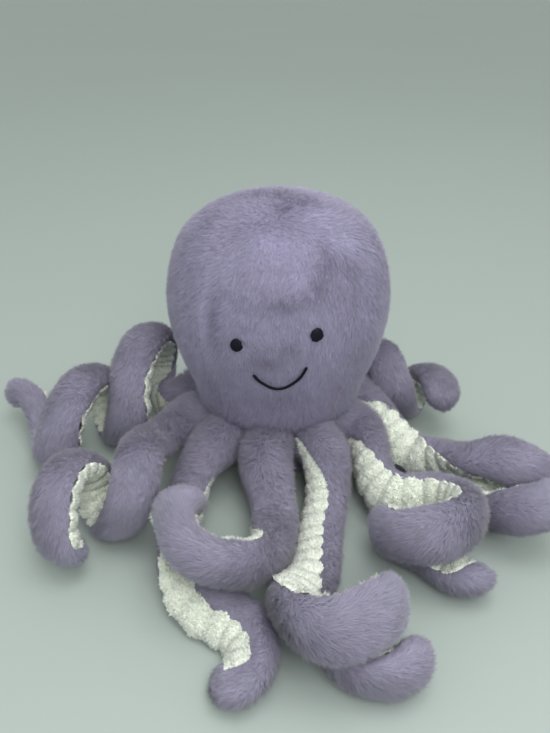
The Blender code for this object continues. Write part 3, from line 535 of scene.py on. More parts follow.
class Course:
    """An arm's sections from root to tip, a station every few millimetres."""

    def __init__(self, name):
        bearing, exit_facing, route = ARMS[name]
        self.strip = STRIPS[name]
        half_width = ARM_WIDTH / 2.0
        root_radius = half_width * ROOT_THICKNESS_SHARE
        angle = math.radians(bearing)
        outward_way = np.array((math.sin(angle), -math.cos(angle), 0.0))
        root_reach = NECK_RADIUS + ROOT_GAP + root_radius
        root = outward_way * root_reach + UP * (NECK_HEIGHT - ROOT_BELOW_HEAD)
        leave = root + outward_way * ROOT_STRAIGHT - UP * ROOT_DROP
        rows = [(*root, root_radius, *exit_facing), (*leave, root_radius, *exit_facing)]
        for x, y, z, width_share, *facing in route:
            place = np.array((x, y, z)) * ARM_WIDTH
            rows.append((*place, width_share * half_width, *unit(np.array(facing))))
        fine = spline(rows, PATH_SAMPLES)
        distance = distances(fine[:, :3])
        self.total = distance[-1]
        body = np.linspace(0.0, self.total - TIP_ROUND_LENGTH, int(self.total / STATION_STEP))
        tip = self.total - TIP_ROUND_LENGTH * np.array(TIP_ROUND_SHARES)
        self.station = np.concatenate([body, tip])
        row = between(self.station, distance, fine)
        tangent = unit(np.gradient(fine[:, :3], distance, axis=0))
        self.along = unit(between(self.station, distance, tangent))
        facing = row[:, 4:7]
        self.facing = unit(facing - dot(facing, self.along) * self.along)
        self.across = np.cross(self.along, self.facing)
        share = np.interp(
            self.station / self.total, (0.0, ROOT_LENGTH_SHARE, 2.0 * ROOT_LENGTH_SHARE, 1.0),
            (ROOT_THICKNESS_SHARE, ROOT_THICKNESS_SHARE, ARM_THICKNESS_SHARE, TIP_THICKNESS_SHARE))
        self.half_width = row[:, 3]
        self.half_thickness = share * half_width
        reach = np.hypot(
            self.across[:, 2] * self.half_width, self.facing[:, 2] * self.half_thickness)
        self.centre = row[:, :3]
        self.centre[:, 2] += np.maximum(0.0, reach + TABLE_GAP - self.centre[:, 2])
        rest = np.clip((self.total - self.station) / TIP_ROUND_LENGTH, 0.0, 1.0)
        rounding = np.maximum(np.sqrt(1.0 - (1.0 - rest) ** 2), TIP_POINT_SHARE)
        self.half_width = self.half_width * rounding
        self.half_thickness = self.half_thickness * rounding
        self.close_root()

    def close_root(self):
        """Adds the half ball behind the first station."""
        back = np.array(ROOT_ROUND_SHARES)
        narrow = np.sqrt(1.0 - back ** 2)
        radius = self.half_thickness[0]
        places = self.centre[0] - self.along[0] * (radius * back)[:, None]
        self.centre = np.vstack([places, self.centre])
        for name in ("along", "facing", "across"):
            rows = getattr(self, name)
            setattr(self, name, np.vstack([np.repeat(rows[:1], len(back), axis=0), rows]))
        self.half_width = np.concatenate([self.half_width[0] * narrow, self.half_width])
        self.half_thickness = np.concatenate([radius * narrow, self.half_thickness])
        self.station = np.concatenate([-radius * back, self.station])

    def refined(self, step):
        """A copy with its stations a small step apart."""
        fine = copy(self)
        fine.station = np.arange(self.station[0], self.total, step)
        fine.half_width = np.interp(fine.station, self.station, self.half_width)
        fine.half_thickness = np.interp(fine.station, self.station, self.half_thickness)
        fine.centre = between(fine.station, self.station, self.centre)
        for name in ("along", "facing", "across"):
            setattr(fine, name, unit(between(fine.station, self.station, getattr(self, name))))
        return fine

    def slot_angle(self):
        """Half angle of the chenille strip at each station: it starts and ends in a point."""
        begin, full, widest, _ = self.strip
        opening = np.clip((self.station - begin) / (full - begin), 0.0, 1.0) ** STRIP_OPENING_POWER
        closing = smooth_step(self.total - self.station, *STRIP_END)
        return np.maximum(widest * opening * closing, LEAST_SLOT_ANGLE)

    def slot_turn(self):
        """How far the strip's middle is turned round the arm at each station."""
        turns = np.array(self.strip[3])
        return np.interp(self.station, turns[:, 0], turns[:, 1])

    def ring_normals(self, angles):
        """Outward normals of the oval at angles, tilted where the arm tapers."""
        a = np.radians(angles)
        wide = (np.sin(a) / self.half_width[:, None])[:, :, None] * self.across[:, None]
        deep = (np.cos(a) / self.half_thickness[:, None])[:, :, None] * self.facing[:, None]
        taper = np.gradient(self.half_width, self.station).clip(-STEEPEST_TAPER, STEEPEST_TAPER)
        return unit(unit(wide + deep) - self.along[:, None] * taper[:, None, None])

    def ring(self, angles, inset=0.0):
        """Points of the oval at angles from the facing, in degrees, one row for each station."""
        a = np.radians(angles)
        thin = np.minimum(self.half_thickness, self.half_width)
        inner = np.minimum(inset, thin * MOST_INSET_SHARE)
        half_width = (self.half_width - inner)[:, None]
        half_thickness = (self.half_thickness - inner)[:, None]
        wide = (np.sin(a) * half_width)[:, :, None] * self.across[:, None]
        deep = (np.cos(a) * half_thickness)[:, :, None] * self.facing[:, None]
        return self.centre[:, None] + wide + deep


class Patch:
    """A grid of points on a fabric, with its outward normals and the way its pile lies."""

    def __init__(self, points, normals, down, closed=False):
        self.points, self.normals, self.down, self.closed = points, normals, down, closed

    @classmethod
    def over(cls, points, outward_hint, closed=False):
        """A patch whose normals are worked out from its points and lie to the side of a hint."""
        down = np.gradient(points, axis=0)
        if closed:
            round_ = np.roll(points, -1, axis=1) - np.roll(points, 1, axis=1)
        else:
            round_ = np.gradient(points, axis=1)
        normals = unit(np.cross(round_, down))
        flip = np.sign(dot(normals, outward_hint))
        return cls(points, normals * np.where(flip == 0.0, 1.0, flip), unit(down), closed)

    def round_closed(self, grid):
        """A grid with its first column again at its end, where the patch runs round."""
        return np.concatenate([grid, grid[:, :1]], axis=1) if self.closed else grid

    def cell_areas(self, weight):
        q = self.round_closed(self.points)
        a, b = q[1:, 1:] - q[:-1, :-1], q[1:, :-1] - q[:-1, 1:]
        area = 0.5 * np.linalg.norm(np.cross(a, b), axis=-1)
        return area if weight is None else area * weight[:area.shape[0], :area.shape[1]]

    def held(self, density, weight=None):
        """A density in strands per square millimetre, lowered where a piece would get too many."""
        return min(density, MOST_STRANDS / (self.cell_areas(weight).sum() * SQUARE_MILLIMETRES))

    def scatter(self, density, rng, weight=None):
        """Even random places on the grid: row and column with their fractions."""
        area = self.cell_areas(weight)
        total = np.cumsum(area.ravel())
        count = int(total[-1] * density * SQUARE_MILLIMETRES)
        picks = (np.arange(count) + rng.random(count)) / count * total[-1]
        cell = np.minimum(np.searchsorted(total, picks), area.size - 1)
        row, column = np.divmod(cell, area.shape[1])
        return row + rng.random(count), column + rng.random(count)

    def read(self, grid, row, column):
        """Values of a grid at fractional rows and columns."""
        grid = self.round_closed(grid)
        r = np.minimum(row.astype(int), grid.shape[0] - 2)
        c = np.minimum(column.astype(int), grid.shape[1] - 2)
        shape = (-1,) + (1,) * (grid.ndim - 2)
        fr, fc = (row - r).reshape(shape), (column - c).reshape(shape)
        top = grid[r, c] * (1.0 - fc) + grid[r, c + 1] * fc
        low = grid[r + 1, c] * (1.0 - fc) + grid[r + 1, c + 1] * fc
        return top * (1.0 - fr) + low * fr


# Strands


def above_table(points, lift=TABLE_LIFT):
    """Raises points that would lie lower than a small lift above the table."""
    points[..., 2] = np.maximum(points[..., 2], lift)
    return points


def cones(roots, tips, radius, normals, bulge, tones, rng):
    """Points, faces and values of three-sided cones. bulge is how round their sides are shaded."""
    count = len(roots)
    axis = unit(tips - roots)
    side = unit(np.cross(axis, rng.normal(size=axis.shape)))
    other = np.cross(axis, side)
    points, shade = [], []
    for turn in np.radians(CONE_TURNS):
        round_ = side * math.cos(turn) + other * math.sin(turn)
        points.append(roots + round_ * radius[:, None])
        shade.append(unit(normals + round_ * bulge))
    points.append(tips)
    shade.append(normals)
    corner = np.arange(count)[:, None] * len(points)
    return {
        "points": above_table(np.stack(points, axis=1).reshape(-1, 3)),
        "faces": np.concatenate([corner + np.array(face) for face in CONE_FACES]),
        "normals": np.stack(shade, axis=1).reshape(-1, 3),
        "reach": np.tile(CONE_REACH, count),
        "tone": np.repeat(tones, len(points)),
        "places": cell_map(count),
    }


def nearest(places, targets):
    tree = KDTree(len(targets))
    for i, target in enumerate(targets):
        tree.insert(target, i)
    tree.balance()
    return np.array([tree.find(place)[1] for place in places])


def grow_fur(patch, flow, length, tone, lift, density, width, rng, weight=None, pull=TUFT_PULL):
    """The strands that cover a patch and gather into tufts.

    flow, length, tone and lift are grids over the patch; lift makes the strands stand up by that
    many degrees more, and weight thins them out where it is low.
    """
    def strands(count_density, wander):
        row, column = patch.scatter(count_density, rng, weight)
        roots = patch.read(patch.points, row, column)
        normals = unit(patch.read(patch.normals, row, column))
        way = patch.read(flow, row, column) + rng.normal(size=roots.shape) * wander
        way = unit(way - dot(way, normals) * normals)
        lengths = patch.read(length, row, column) * rng.uniform(*STRAND_LENGTH_SHARES, len(roots))
        rises = rng.normal(STRAND_RISE, STRAND_RISE_SPREAD, len(roots))
        rises = (rises + patch.read(lift, row, column)).clip(*STRAND_RISE_LIMITS)
        steep = np.radians(rises)[:, None]
        tips = roots + (way * np.cos(steep) + normals * np.sin(steep)) * lengths[:, None]
        return np.stack([roots, tips], axis=1), normals, patch.read(tone, row, column)

    density = patch.held(density, weight)
    guides, _, _ = strands(1.0 / (TUFT_AREA * SQUARE_MILLIMETRES), TUFT_WANDER)
    lines, normals, tones = strands(density, STRAND_WANDER)
    tuft = nearest(lines[:, 0], guides[:, 0])
    lead = guides[tuft]
    offset = lines[:, 0] - lead[:, 0]
    lines[:, 1] += pull * (lead[:, 1] + TUFT_TIP_SHARE * offset - lines[:, 1])
    aside = offset - dot(offset, normals) * normals
    tuft_radius = math.sqrt(TUFT_AREA / math.pi)
    shade = unit(normals + np.clip(aside / tuft_radius, -1.0, 1.0) * TUFT_SHADE
                 + rng.normal(size=normals.shape) * STRAND_SHADE)
    tones = (rng.normal(size=len(guides))[tuft] * TUFT_LIGHTNESS
             + rng.normal(size=len(lines)) * STRAND_LIGHTNESS + tones)
    widths = width * rng.uniform(*STRAND_WIDTH_SHARES, len(lines))
    lines = above_table(lines)
    return cones(lines[:, 0], lines[:, 1], widths / 2.0, shade, STRAND_BULGE, tones, rng)


# Meshes


def grid_faces(rows, columns):
    """Quads over a grid of points whose rows run round to their first column."""
    r, c = np.meshgrid(np.arange(rows - 1), np.arange(columns), indexing="ij")
    d = (c + 1) % columns
    low, high = r * columns, (r + 1) * columns
    return np.stack([low + c, low + d, high + d, high + c], axis=-1).reshape(-1, 4)


def outward(quads, points, normals):
    """The quads turned so that they face along the normals of their grid."""
    points, normals = points.reshape(-1, 3), normals.reshape(-1, 3)
    a, b, c = (points[quads[:, k]] for k in (0, 1, 2))
    backwards = (np.cross(b - a, c - a) * normals[quads[:, 0]]).sum() < 0.0
    return quads[:, ::-1] if backwards else quads


def make_mesh(name, points, faces, normals=None, values=None, uv=None):
    """A mesh from arrays: faces is a list of (n, 3) or (n, 4) arrays, values names point values."""
    mesh = bpy.data.meshes.new(name)
    loops = np.concatenate([block.ravel() for block in faces])
    sizes = np.concatenate([np.full(len(block), block.shape[1]) for block in faces])
    mesh.vertices.add(len(points))
    mesh.vertices.foreach_set("co", np.asarray(points, np.float32).ravel())
    mesh.loops.add(len(loops))
    mesh.loops.foreach_set("vertex_index", loops.astype(np.int32))
    mesh.polygons.add(len(sizes))
    mesh.polygons.foreach_set("loop_start", (np.cumsum(sizes) - sizes).astype(np.int32))
    mesh.polygons.foreach_set("loop_total", sizes.astype(np.int32))
    mesh.update(calc_edges=True)
    mesh.shade_smooth()
    for key, value in (values or {}).items():
        layer = mesh.attributes.new(key, "FLOAT", "POINT")
        layer.data.foreach_set("value", np.asarray(value, np.float32))
    if uv is not None:
        layer = mesh.uv_layers.new(name="OFBake")
        layer.uv.foreach_set("vector", np.asarray(uv, np.float32)[loops].ravel())
    if normals is not None:
        mesh.normals_split_custom_set_from_vertices(normals.astype(np.float32))
    piece = bpy.data.objects.new(name, mesh)
    bpy.context.scene.collection.objects.link(piece)
    return piece


def sheet(name, points, normals):
    """A plain mesh over a grid of points whose rows run round, facing along its normals."""
    quads = outward(grid_faces(*points.shape[:2]), points, normals)
    return make_mesh(name, points.reshape(-1, 3), [quads])


def cell_map(count):
    """Map places for cones of four points: each has a small cell of its own, in a square sheet."""
    across = math.ceil(math.sqrt(count))
    column, row = np.arange(count) % across, np.arange(count) // across
    cell = np.stack([column, row], axis=1)[:, None] + np.array(CONE_CELL)
    sheet_places = (cell / across).reshape(-1, 2)
    return sheet_places * np.array(CONE_SHEET_SIZE) + np.array(CONE_SHEET_CORNER)


def cloth_map(rows, columns):
    """Map places for a cloth's grid: the strip along the bottom of the sheet."""
    r, c = np.meshgrid(
        np.linspace(0.0, 1.0, rows), np.linspace(*CLOTH_SHEET_EDGES, columns), indexing="ij")
    return np.stack([r, c], axis=-1).reshape(-1, 2)


def furry_piece(name, cloth, cloth_normals, cloth_tone, cloth_reach, grown, material):
    """One mesh of a cloth, a grid whose rows run round, and the strands or loops grown on it."""
    rows, columns = cloth.shape[:2]
    count = rows * columns
    quads = outward(grid_faces(rows, columns), cloth, cloth_normals)
    tone = np.broadcast_to(cloth_tone, (rows, columns)).ravel()
    values = {
        "reach": np.concatenate([np.full(count, cloth_reach), grown["reach"]]),
        "tone": np.concatenate([tone, grown["tone"]]),
    }
    piece = make_mesh(
        name, np.concatenate([cloth.reshape(-1, 3), grown["points"]]), [quads, grown["faces"] + count],
        np.concatenate([cloth_normals.reshape(-1, 3), grown["normals"]]), values,
        np.concatenate([cloth_map(rows, columns), grown["places"]]))
    piece.data.materials.append(material)
    return piece


# Materials


class Term:
    """A socket that takes Python's sums: each operator adds the Math node for its step."""

    def __init__(self, board, socket):
        self.board, self.socket = board, socket

    def __add__(self, other):
        return self.board.maths("ADD", self, other)

    def __sub__(self, other):
        return self.board.maths("SUBTRACT", self, other)

    def __rsub__(self, other):
        return self.board.maths("SUBTRACT", other, self)

    def __mul__(self, other):
        return self.board.maths("MULTIPLY", self, other)

    def __pow__(self, other):
        return self.board.maths("POWER", self, other)

    def __rpow__(self, other):
        return self.board.maths("POWER", other, self)

    __radd__ = __add__
    __rmul__ = __mul__


class Board:
    """The node tree of one material."""

    def __init__(self, name, roughness, **constants):
        self.material = bpy.data.materials.new(name)
        self.material.use_nodes = True
        self.tree = self.material.node_tree
        self.shader = self.tree.nodes["Principled BSDF"]
        self.shader.inputs["Roughness"].default_value = roughness
        for key, value in constants.items():
            self.shader.inputs[key.replace("_", " ")].default_value = value

    def node(self, kind, settings=None, sockets=None, output=0):
        """A new node: its settings come first, then the values or links of its sockets."""
        node = self.tree.nodes.new(kind)
        for key, value in (settings or {}).items():
            setattr(node, key, value)
        for key, value in (sockets or {}).items():
            self.feed(node.inputs[key], value)
        return Term(self, node.outputs[output])

    def feed(self, socket, value):
        if isinstance(value, Term):
            self.tree.links.new(value.socket, socket)
        else:
            socket.default_value = value

    def maths(self, operation, first, second):
        return self.node("ShaderNodeMath", {"operation": operation}, {0: first, 1: second})

    def clamp(self, term):
        return self.node("ShaderNodeClamp", None, {"Value": term})

    def value(self, name):
        """A value that the mesh holds at each point."""
        return self.node("ShaderNodeAttribute", {"attribute_name": name}, output="Fac")

    def place(self):
        return self.node("ShaderNodeTexCoord", output="Object")

    def noise(self, place, scale, detail=2.0):
        return self.node(
            "ShaderNodeTexNoise", None, {"Vector": place, "Scale": scale, "Detail": detail})

    def mix(self, share, first, second, blend="MIX"):
        """Mixes two colours."""
        return self.node(
            "ShaderNodeMix", {"data_type": "RGBA", "blend_type": blend}, {0: share, 6: first, 7: second},
            output=2)

    def lit(self, colour, light):
        """A colour times a lightness."""
        grey = self.node("ShaderNodeCombineColor", None, {0: light, 1: light, 2: light})
        return self.mix(1.0, colour, grey, "MULTIPLY")

    def finish(self, colour, roughness=None, bump=None, bump_distance=0.0):
        """Feeds the shader and gives the finished material."""
        self.feed(self.shader.inputs["Base Color"], colour)
        if roughness is not None:
            self.feed(self.shader.inputs["Roughness"], roughness)
        if bump is not None:
            self.feed(self.shader.inputs["Normal"], self.node("ShaderNodeBump", None, {
                "Height": bump, "Strength": 0.5, "Distance": bump_distance}, "Normal"))
        return self.material


def scaled(colour, share):
    return tuple(value * share for value in colour[:3]) + (1.0,)


def fur_material(name, tip_colour, shaded_root_colour, contrast):
    """Fur: painted shade down between the strands, pale at the tips, with tufts and the painted sheen
    and shade of brushed places.
    """
    board = Board(name, 0.88, Sheen_Weight=0.30, Sheen_Roughness=0.45, Specular_IOR_Level=0.2)
    reach, tone = board.value("reach"), board.value("tone")
    place = board.place()
    dusk = board.clamp(board.noise(place, scale=26.0, detail=3.0) * 2.0 - 0.5)
    warm = (tip_colour[0] * 1.03, tip_colour[1] * 0.97, tip_colour[2] * 0.98, 1.0)
    tip = board.mix(dusk, tuple(tip_colour), warm)
    # Painted shade: the darker root colour low in the pile, the tip colour at the strands' ends
    colour = board.mix(board.clamp(reach ** 0.8), tuple(shaded_root_colour), tip)
    streak = board.noise(place, scale=420.0) - 0.5
    light = 1.0 + tone * contrast + streak * 0.12
    return board.finish(board.lit(colour, board.maths("MAXIMUM", light, 0.3)))


def chenille_material(chenille):
    """Chenille: near white at the loops' ends, darker yellow green down in the ground, the darkness
    being painted shade between the loops.
    """
    board = Board("cream_chenille_loops", 0.9, Sheen_Weight=0.3, Sheen_Roughness=0.5,
                  Specular_IOR_Level=0.25)
    reach, tone = board.value("reach"), board.value("tone")
    ground, tip = tuple(chenille.shaded_ground_colour), tuple(chenille.tip_colour)
    speck = board.noise(board.place(), scale=700.0) - 0.5
    light = 1.0 + tone * 0.07 + speck * 0.12
    return board.finish(board.lit(board.mix(board.clamp(reach), ground, tip), light))


def thread_material(face):
    """Embroidery thread: near black with a dull silky gloss."""
    board = Board("dark_embroidery_thread", 0.5, Specular_IOR_Level=0.16)
    speck = board.noise(board.place(), scale=900.0)
    dark, pale = scaled(face.thread_colour, 0.7), scaled(face.thread_colour, 1.7)
    colour = board.mix(board.clamp(speck * 1.6 - 0.3), dark, pale)
    return board.finish(colour, 0.36 + speck * 0.25, speck, bump_distance=0.0001)


def base_cloth_material(fur):
    """Short brushed cloth under the base: a fine knit under a thin nap."""
    board = Board("lilac_base_cloth", 0.93, Sheen_Weight=0.2)
    place = board.place()
    knit = board.node("ShaderNodeTexVoronoi", None, {"Vector": place, "Scale": 1100.0}, "Distance")
    patch = board.noise(place, scale=60.0, detail=4.0)
    light = (0.72 + knit * 0.25 + patch * 0.22) * 1.2
    return board.finish(
        board.lit(tuple(fur.shaded_root_colour), light), bump=knit, bump_distance=0.0003)


def floor_material(stage):
    """Plain pale floor with the faintest unevenness of tone."""
    board = Board("pale_floor", 0.9, Specular_IOR_Level=0.1)
    soft = board.noise(board.place(), scale=1.2, detail=3.0)
    return board.finish(board.lit(tuple(stage.floor_colour), 0.97 + soft * 0.06))


# Pieces


def head_outline():
    """Radius and height down the head from crown to neck, in even steps, sunk by the fur's depth."""
    half_width, middle = HEAD_WIDTH / 2.0, HEAD_BOTTOM + HEAD_HEIGHT / 2.0
    profile = [(r * half_width, HEAD_BOTTOM + h * HEAD_HEIGHT) for r, h in HEAD_PROFILE_SHARES]
    fine = spline(profile, PROFILE_SAMPLES)[::-1]
    steps = distances(fine)
    outline = between(np.linspace(0.0, steps[-1], HEAD_ROWS), steps, fine)
    outline[:, 0] = np.maximum(outline[:, 0] - HEAD_FUR_DEPTH, POLE_RADIUS)
    outline[0, 0] = POLE_RADIUS
    above = np.clip((outline[:, 1] - middle) / (HEAD_HEIGHT / 2.0), 0.0, 1.0)
    outline[:, 1] -= HEAD_FUR_DEPTH * above ** 3
    return outline


def head_point(azimuth, height_share):
    """Point and outward normal on the head's cloth."""
    profile = np.array(HEAD_PROFILE_SHARES)
    half_width = HEAD_WIDTH / 2.0
    radius, above, below = (
        np.interp(height_share + shift, profile[:, 1], profile[:, 0]) * half_width
        for shift in (0.0, SLOPE_STEP_SHARE, -SLOPE_STEP_SHARE))
    slope = (above - below) / (2.0 * SLOPE_STEP_SHARE * HEAD_HEIGHT)
    angle = math.radians(azimuth)
    point = np.array((
        radius * math.sin(angle), -radius * math.cos(angle) * HEAD_DEPTH_SHARE,
        HEAD_BOTTOM + height_share * HEAD_HEIGHT))
    normal = np.array((math.sin(angle), -math.cos(angle) / HEAD_DEPTH_SHARE, -slope))
    return point, unit(normal)


def smile_line(samples):
    """Points and normals along the smile on the head's cloth."""
    rows = spline(np.array(SMILE_PATH_SHARES), samples)
    pairs = [head_point(azimuth, height_share) for azimuth, height_share in rows]
    return np.array([pair[0] for pair in pairs]), np.array([pair[1] for pair in pairs])


def face_clearance(points, face):
    """0 under the embroidery and 1 away from it, so that no fur hangs over the eyes or smile."""
    clear = np.ones(points.shape[:-1])
    eye_radius, smile_reach = face.eye_width * 0.5, face.smile_width * SMILE_CLEAR_SHARE
    for azimuth, height_share in EYES.values():
        centre, _ = head_point(azimuth, height_share)
        away = np.linalg.norm(points - centre, axis=-1)
        clear *= smooth_step(away, eye_radius, eye_radius + EYE_MARGIN)
    line, _ = smile_line(SMILE_CLEAR_SAMPLES)
    away = np.min(np.linalg.norm(points[..., None, :] - line, axis=-1), axis=-1)
    return clear * smooth_step(away, smile_reach, smile_reach + SMILE_MARGIN)


def sheen_and_shade_tone(azimuth, height_share):
    """Painted sheen and shade of the pile where it was brushed aside, and painted highlights on the
    forehead and crown.
    """
    tone = np.zeros(azimuth.shape)
    for place, height, wide, tall, strength in SHEEN_AND_SHADE_PATCHES:
        away = ((azimuth - place + 180.0) % 360.0 - 180.0) / wide
        tone += strength * np.exp(-away ** 2 - ((height_share - height) / tall) ** 2)
    return tone


class OCTOPUS_OT_head(bpy.types.Operator):
    """Four sewn gores of short lilac pile, combed from the crown down to the neck"""

    bl_idname = "octopus.head"
    bl_label = "Head gores"

    def execute(self, context):
        fur = context.scene.octopus_fur
        material = fur_material("lilac_head_pile", fur.tip_colour, fur.shaded_root_colour, fur.contrast)
        seam = math.degrees(math.atan(HEAD_DEPTH_SHARE))
        edges = (-seam, seam, 180.0 - seam, 180.0 + seam, 360.0 - seam)
        for index, name in enumerate(GORES):
            self.make_gore(name, edges[index], edges[index + 1], context.scene, material, index)
        return {"FINISHED"}

    def make_gore(self, name, low, high, scene, material, index):
        fur = scene.octopus_fur
        rng = np.random.default_rng(HEAD_SEED + index)
        outline = head_outline()
        azimuth = np.linspace(low, high, GORE_COLUMNS)[None, :]
        a = np.radians(azimuth)
        radius, height = outline[:, :1], outline[:, 1:]
        to_seam = np.radians(np.minimum(azimuth - low, high - azimuth)) * radius
        pinch = np.exp(-(to_seam / SEAM_WIDTH) ** 2) * SEAM_DEPTH * smooth_step(radius, *SEAM_FADE)
        share = (height - HEAD_BOTTOM) / HEAD_HEIGHT
        shape = (HEAD_ROWS, GORE_COLUMNS)
        points = np.stack([
            (radius - pinch) * np.sin(a), -(radius - pinch) * np.cos(a) * HEAD_DEPTH_SHARE,
            np.broadcast_to(height, shape)], axis=-1)
        centre = np.array((0.0, 0.0, HEAD_BOTTOM + HEAD_HEIGHT / 2.0))
        patch = Patch.over(points, points - centre)
        low_fringe = smooth_step(-share, *FRINGE_SHARES)
        crown = smooth_step(share, *CROWN_SHARES)[..., None]
        round_ = np.stack([np.cos(a), np.sin(a) * HEAD_DEPTH_SHARE, 0.0 * a], axis=-1)
        swirl = ripples(points, HEAD_SWIRL) * (1.0 + FRINGE_WANDER * low_fringe)
        flow = patch.down * (HEAD_COMB - HEAD_COMB * crown) + round_ * swirl[..., None]
        flow = flow - np.array((0.0, CROWN_COMB, 0.0)) * crown
        clear = face_clearance(points, scene.octopus_face) if index == 0 else np.ones(shape)
        length = fur.head_pile * (1.0 + FRINGE_LENGTHENING * low_fringe)
        length = length * (FACE_PILE_SHARE + (1.0 - FACE_PILE_SHARE) * clear)
        # Tone: painted sheen, highlights and shade of the brushed places, with random tone
        tone = sheen_and_shade_tone(np.broadcast_to(azimuth, shape), np.broadcast_to(share, shape))
        tone = tone * SHEEN_AND_SHADE_STRENGTH + ripples(points, HEAD_TONE)
        lift = np.broadcast_to(FRINGE_LIFT * low_fringe, shape)
        strands = grow_fur(
            patch, flow, length, tone, lift, fur.head_density, fur.strand_width * HEAD_STRAND_SHARE,
            rng, clear, HEAD_TUFT_PULL)
        outside = points - patch.normals * CLOTH_SINK
        inside = points - patch.normals * (HEAD_WALL - HEAD_FUR_DEPTH * LINING_SHARE)
        cloth = np.concatenate([outside, inside[:, ::-1]], axis=1)
        cloth_normals = np.concatenate([patch.normals, -patch.normals[:, ::-1]], axis=1)
        cloth_tone = np.concatenate([tone, tone[:, ::-1]], axis=1)
        piece = furry_piece(
            name + "_fur", cloth, cloth_normals, cloth_tone, CLOTH_REACH, strands, material)
        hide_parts(name, *(["head_stuffing"] if index == 0 else []))
        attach(piece, BODY)


class OCTOPUS_OT_face(bpy.types.Operator):
    """Two padded satin stitch eyes and one line of satin stitch for the smile"""

    bl_idname = "octopus.face"
    bl_label = "Face"

    def execute(self, context):
        face = context.scene.octopus_face
        material = thread_material(face)
        for name, (azimuth, height_share) in EYES.items():
            self.make_eye(name, azimuth, height_share, face, material)
        self.make_smile(face, material)
        return {"FINISHED"}

    def make_eye(self, name, azimuth, height_share, face, material):
        """An oval dome of stitches laid side by side, with a slightly ragged edge."""
        point, normal = head_point(azimuth, height_share)
        sideways = unit(np.cross(UP, normal))
        upward = np.cross(normal, sideways)
        fall = np.linspace(0.0, math.pi, EYE_RINGS)[:, None]
        turn = np.linspace(0.0, math.tau, EYE_COLUMNS, endpoint=False)[None, :]
        x, y = np.sin(fall) * np.cos(turn), np.sin(fall) * np.sin(turn)
        z = np.broadcast_to(np.cos(fall), x.shape)
        stitches = 1.0 + EYE_STITCH_DEPTH * np.cos(y * EYE_STITCHES * math.pi) * np.sin(fall)
        places = np.stack([x, y, z * EYE_RAG_DEPTH], axis=-1)
        rough = 1.0 + ripples(places, EYE_RAGGEDNESS)
        wide, tall, deep = face.eye_width / 2.0, face.eye_height / 2.0, face.eye_dome / 2.0
        grid = (point + normal * (deep * EYE_RISE_SHARE)
                + (x * rough * wide)[..., None] * sideways + (y * rough * tall)[..., None] * upward
                + (z * stitches * deep)[..., None] * normal)
        normals = unit(x[..., None] * sideways / wide + y[..., None] * upward / tall
                       + z[..., None] * normal / deep)
        self.finish_piece(sheet(name + "_stitched", grid, normals), name, material)

    def make_smile(self, face, material):
        """A rounded line wrapped by stitches across it."""
        points, normals = smile_line(SMILE_SAMPLES)
        sideways = unit(np.cross(unit(np.gradient(points, axis=0)), normals))[:, None]
        normals = normals[:, None]
        distance = distances(points)
        turn = np.linspace(0.0, math.tau, SMILE_COLUMNS, endpoint=False)[None, :]
        ends = np.minimum(distance, distance[-1] - distance)[:, None]
        taper = np.sqrt(np.clip(ends / SMILE_END, SMILE_POINT_SHARE, 1.0))
        wrap = 1.0 + STITCH_DEPTH * np.sin(distance[:, None] / STITCH_PITCH * math.tau + turn)
        half = face.smile_width / 2.0 * taper * wrap
        grid = (points[:, None] + normals * SMILE_RISE
                + (np.cos(turn) * half)[..., None] * sideways
                + (np.sin(turn) * half * SMILE_DEPTH_SHARE)[..., None] * normals)
        out = unit(np.cos(turn)[..., None] * sideways + np.sin(turn)[..., None] * normals)
        self.finish_piece(sheet("smile_stitched", grid, out), "smile", material)

    def finish_piece(self, piece, node, material):
        piece.data.materials.append(material)
        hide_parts(node)
        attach(piece, BODY)


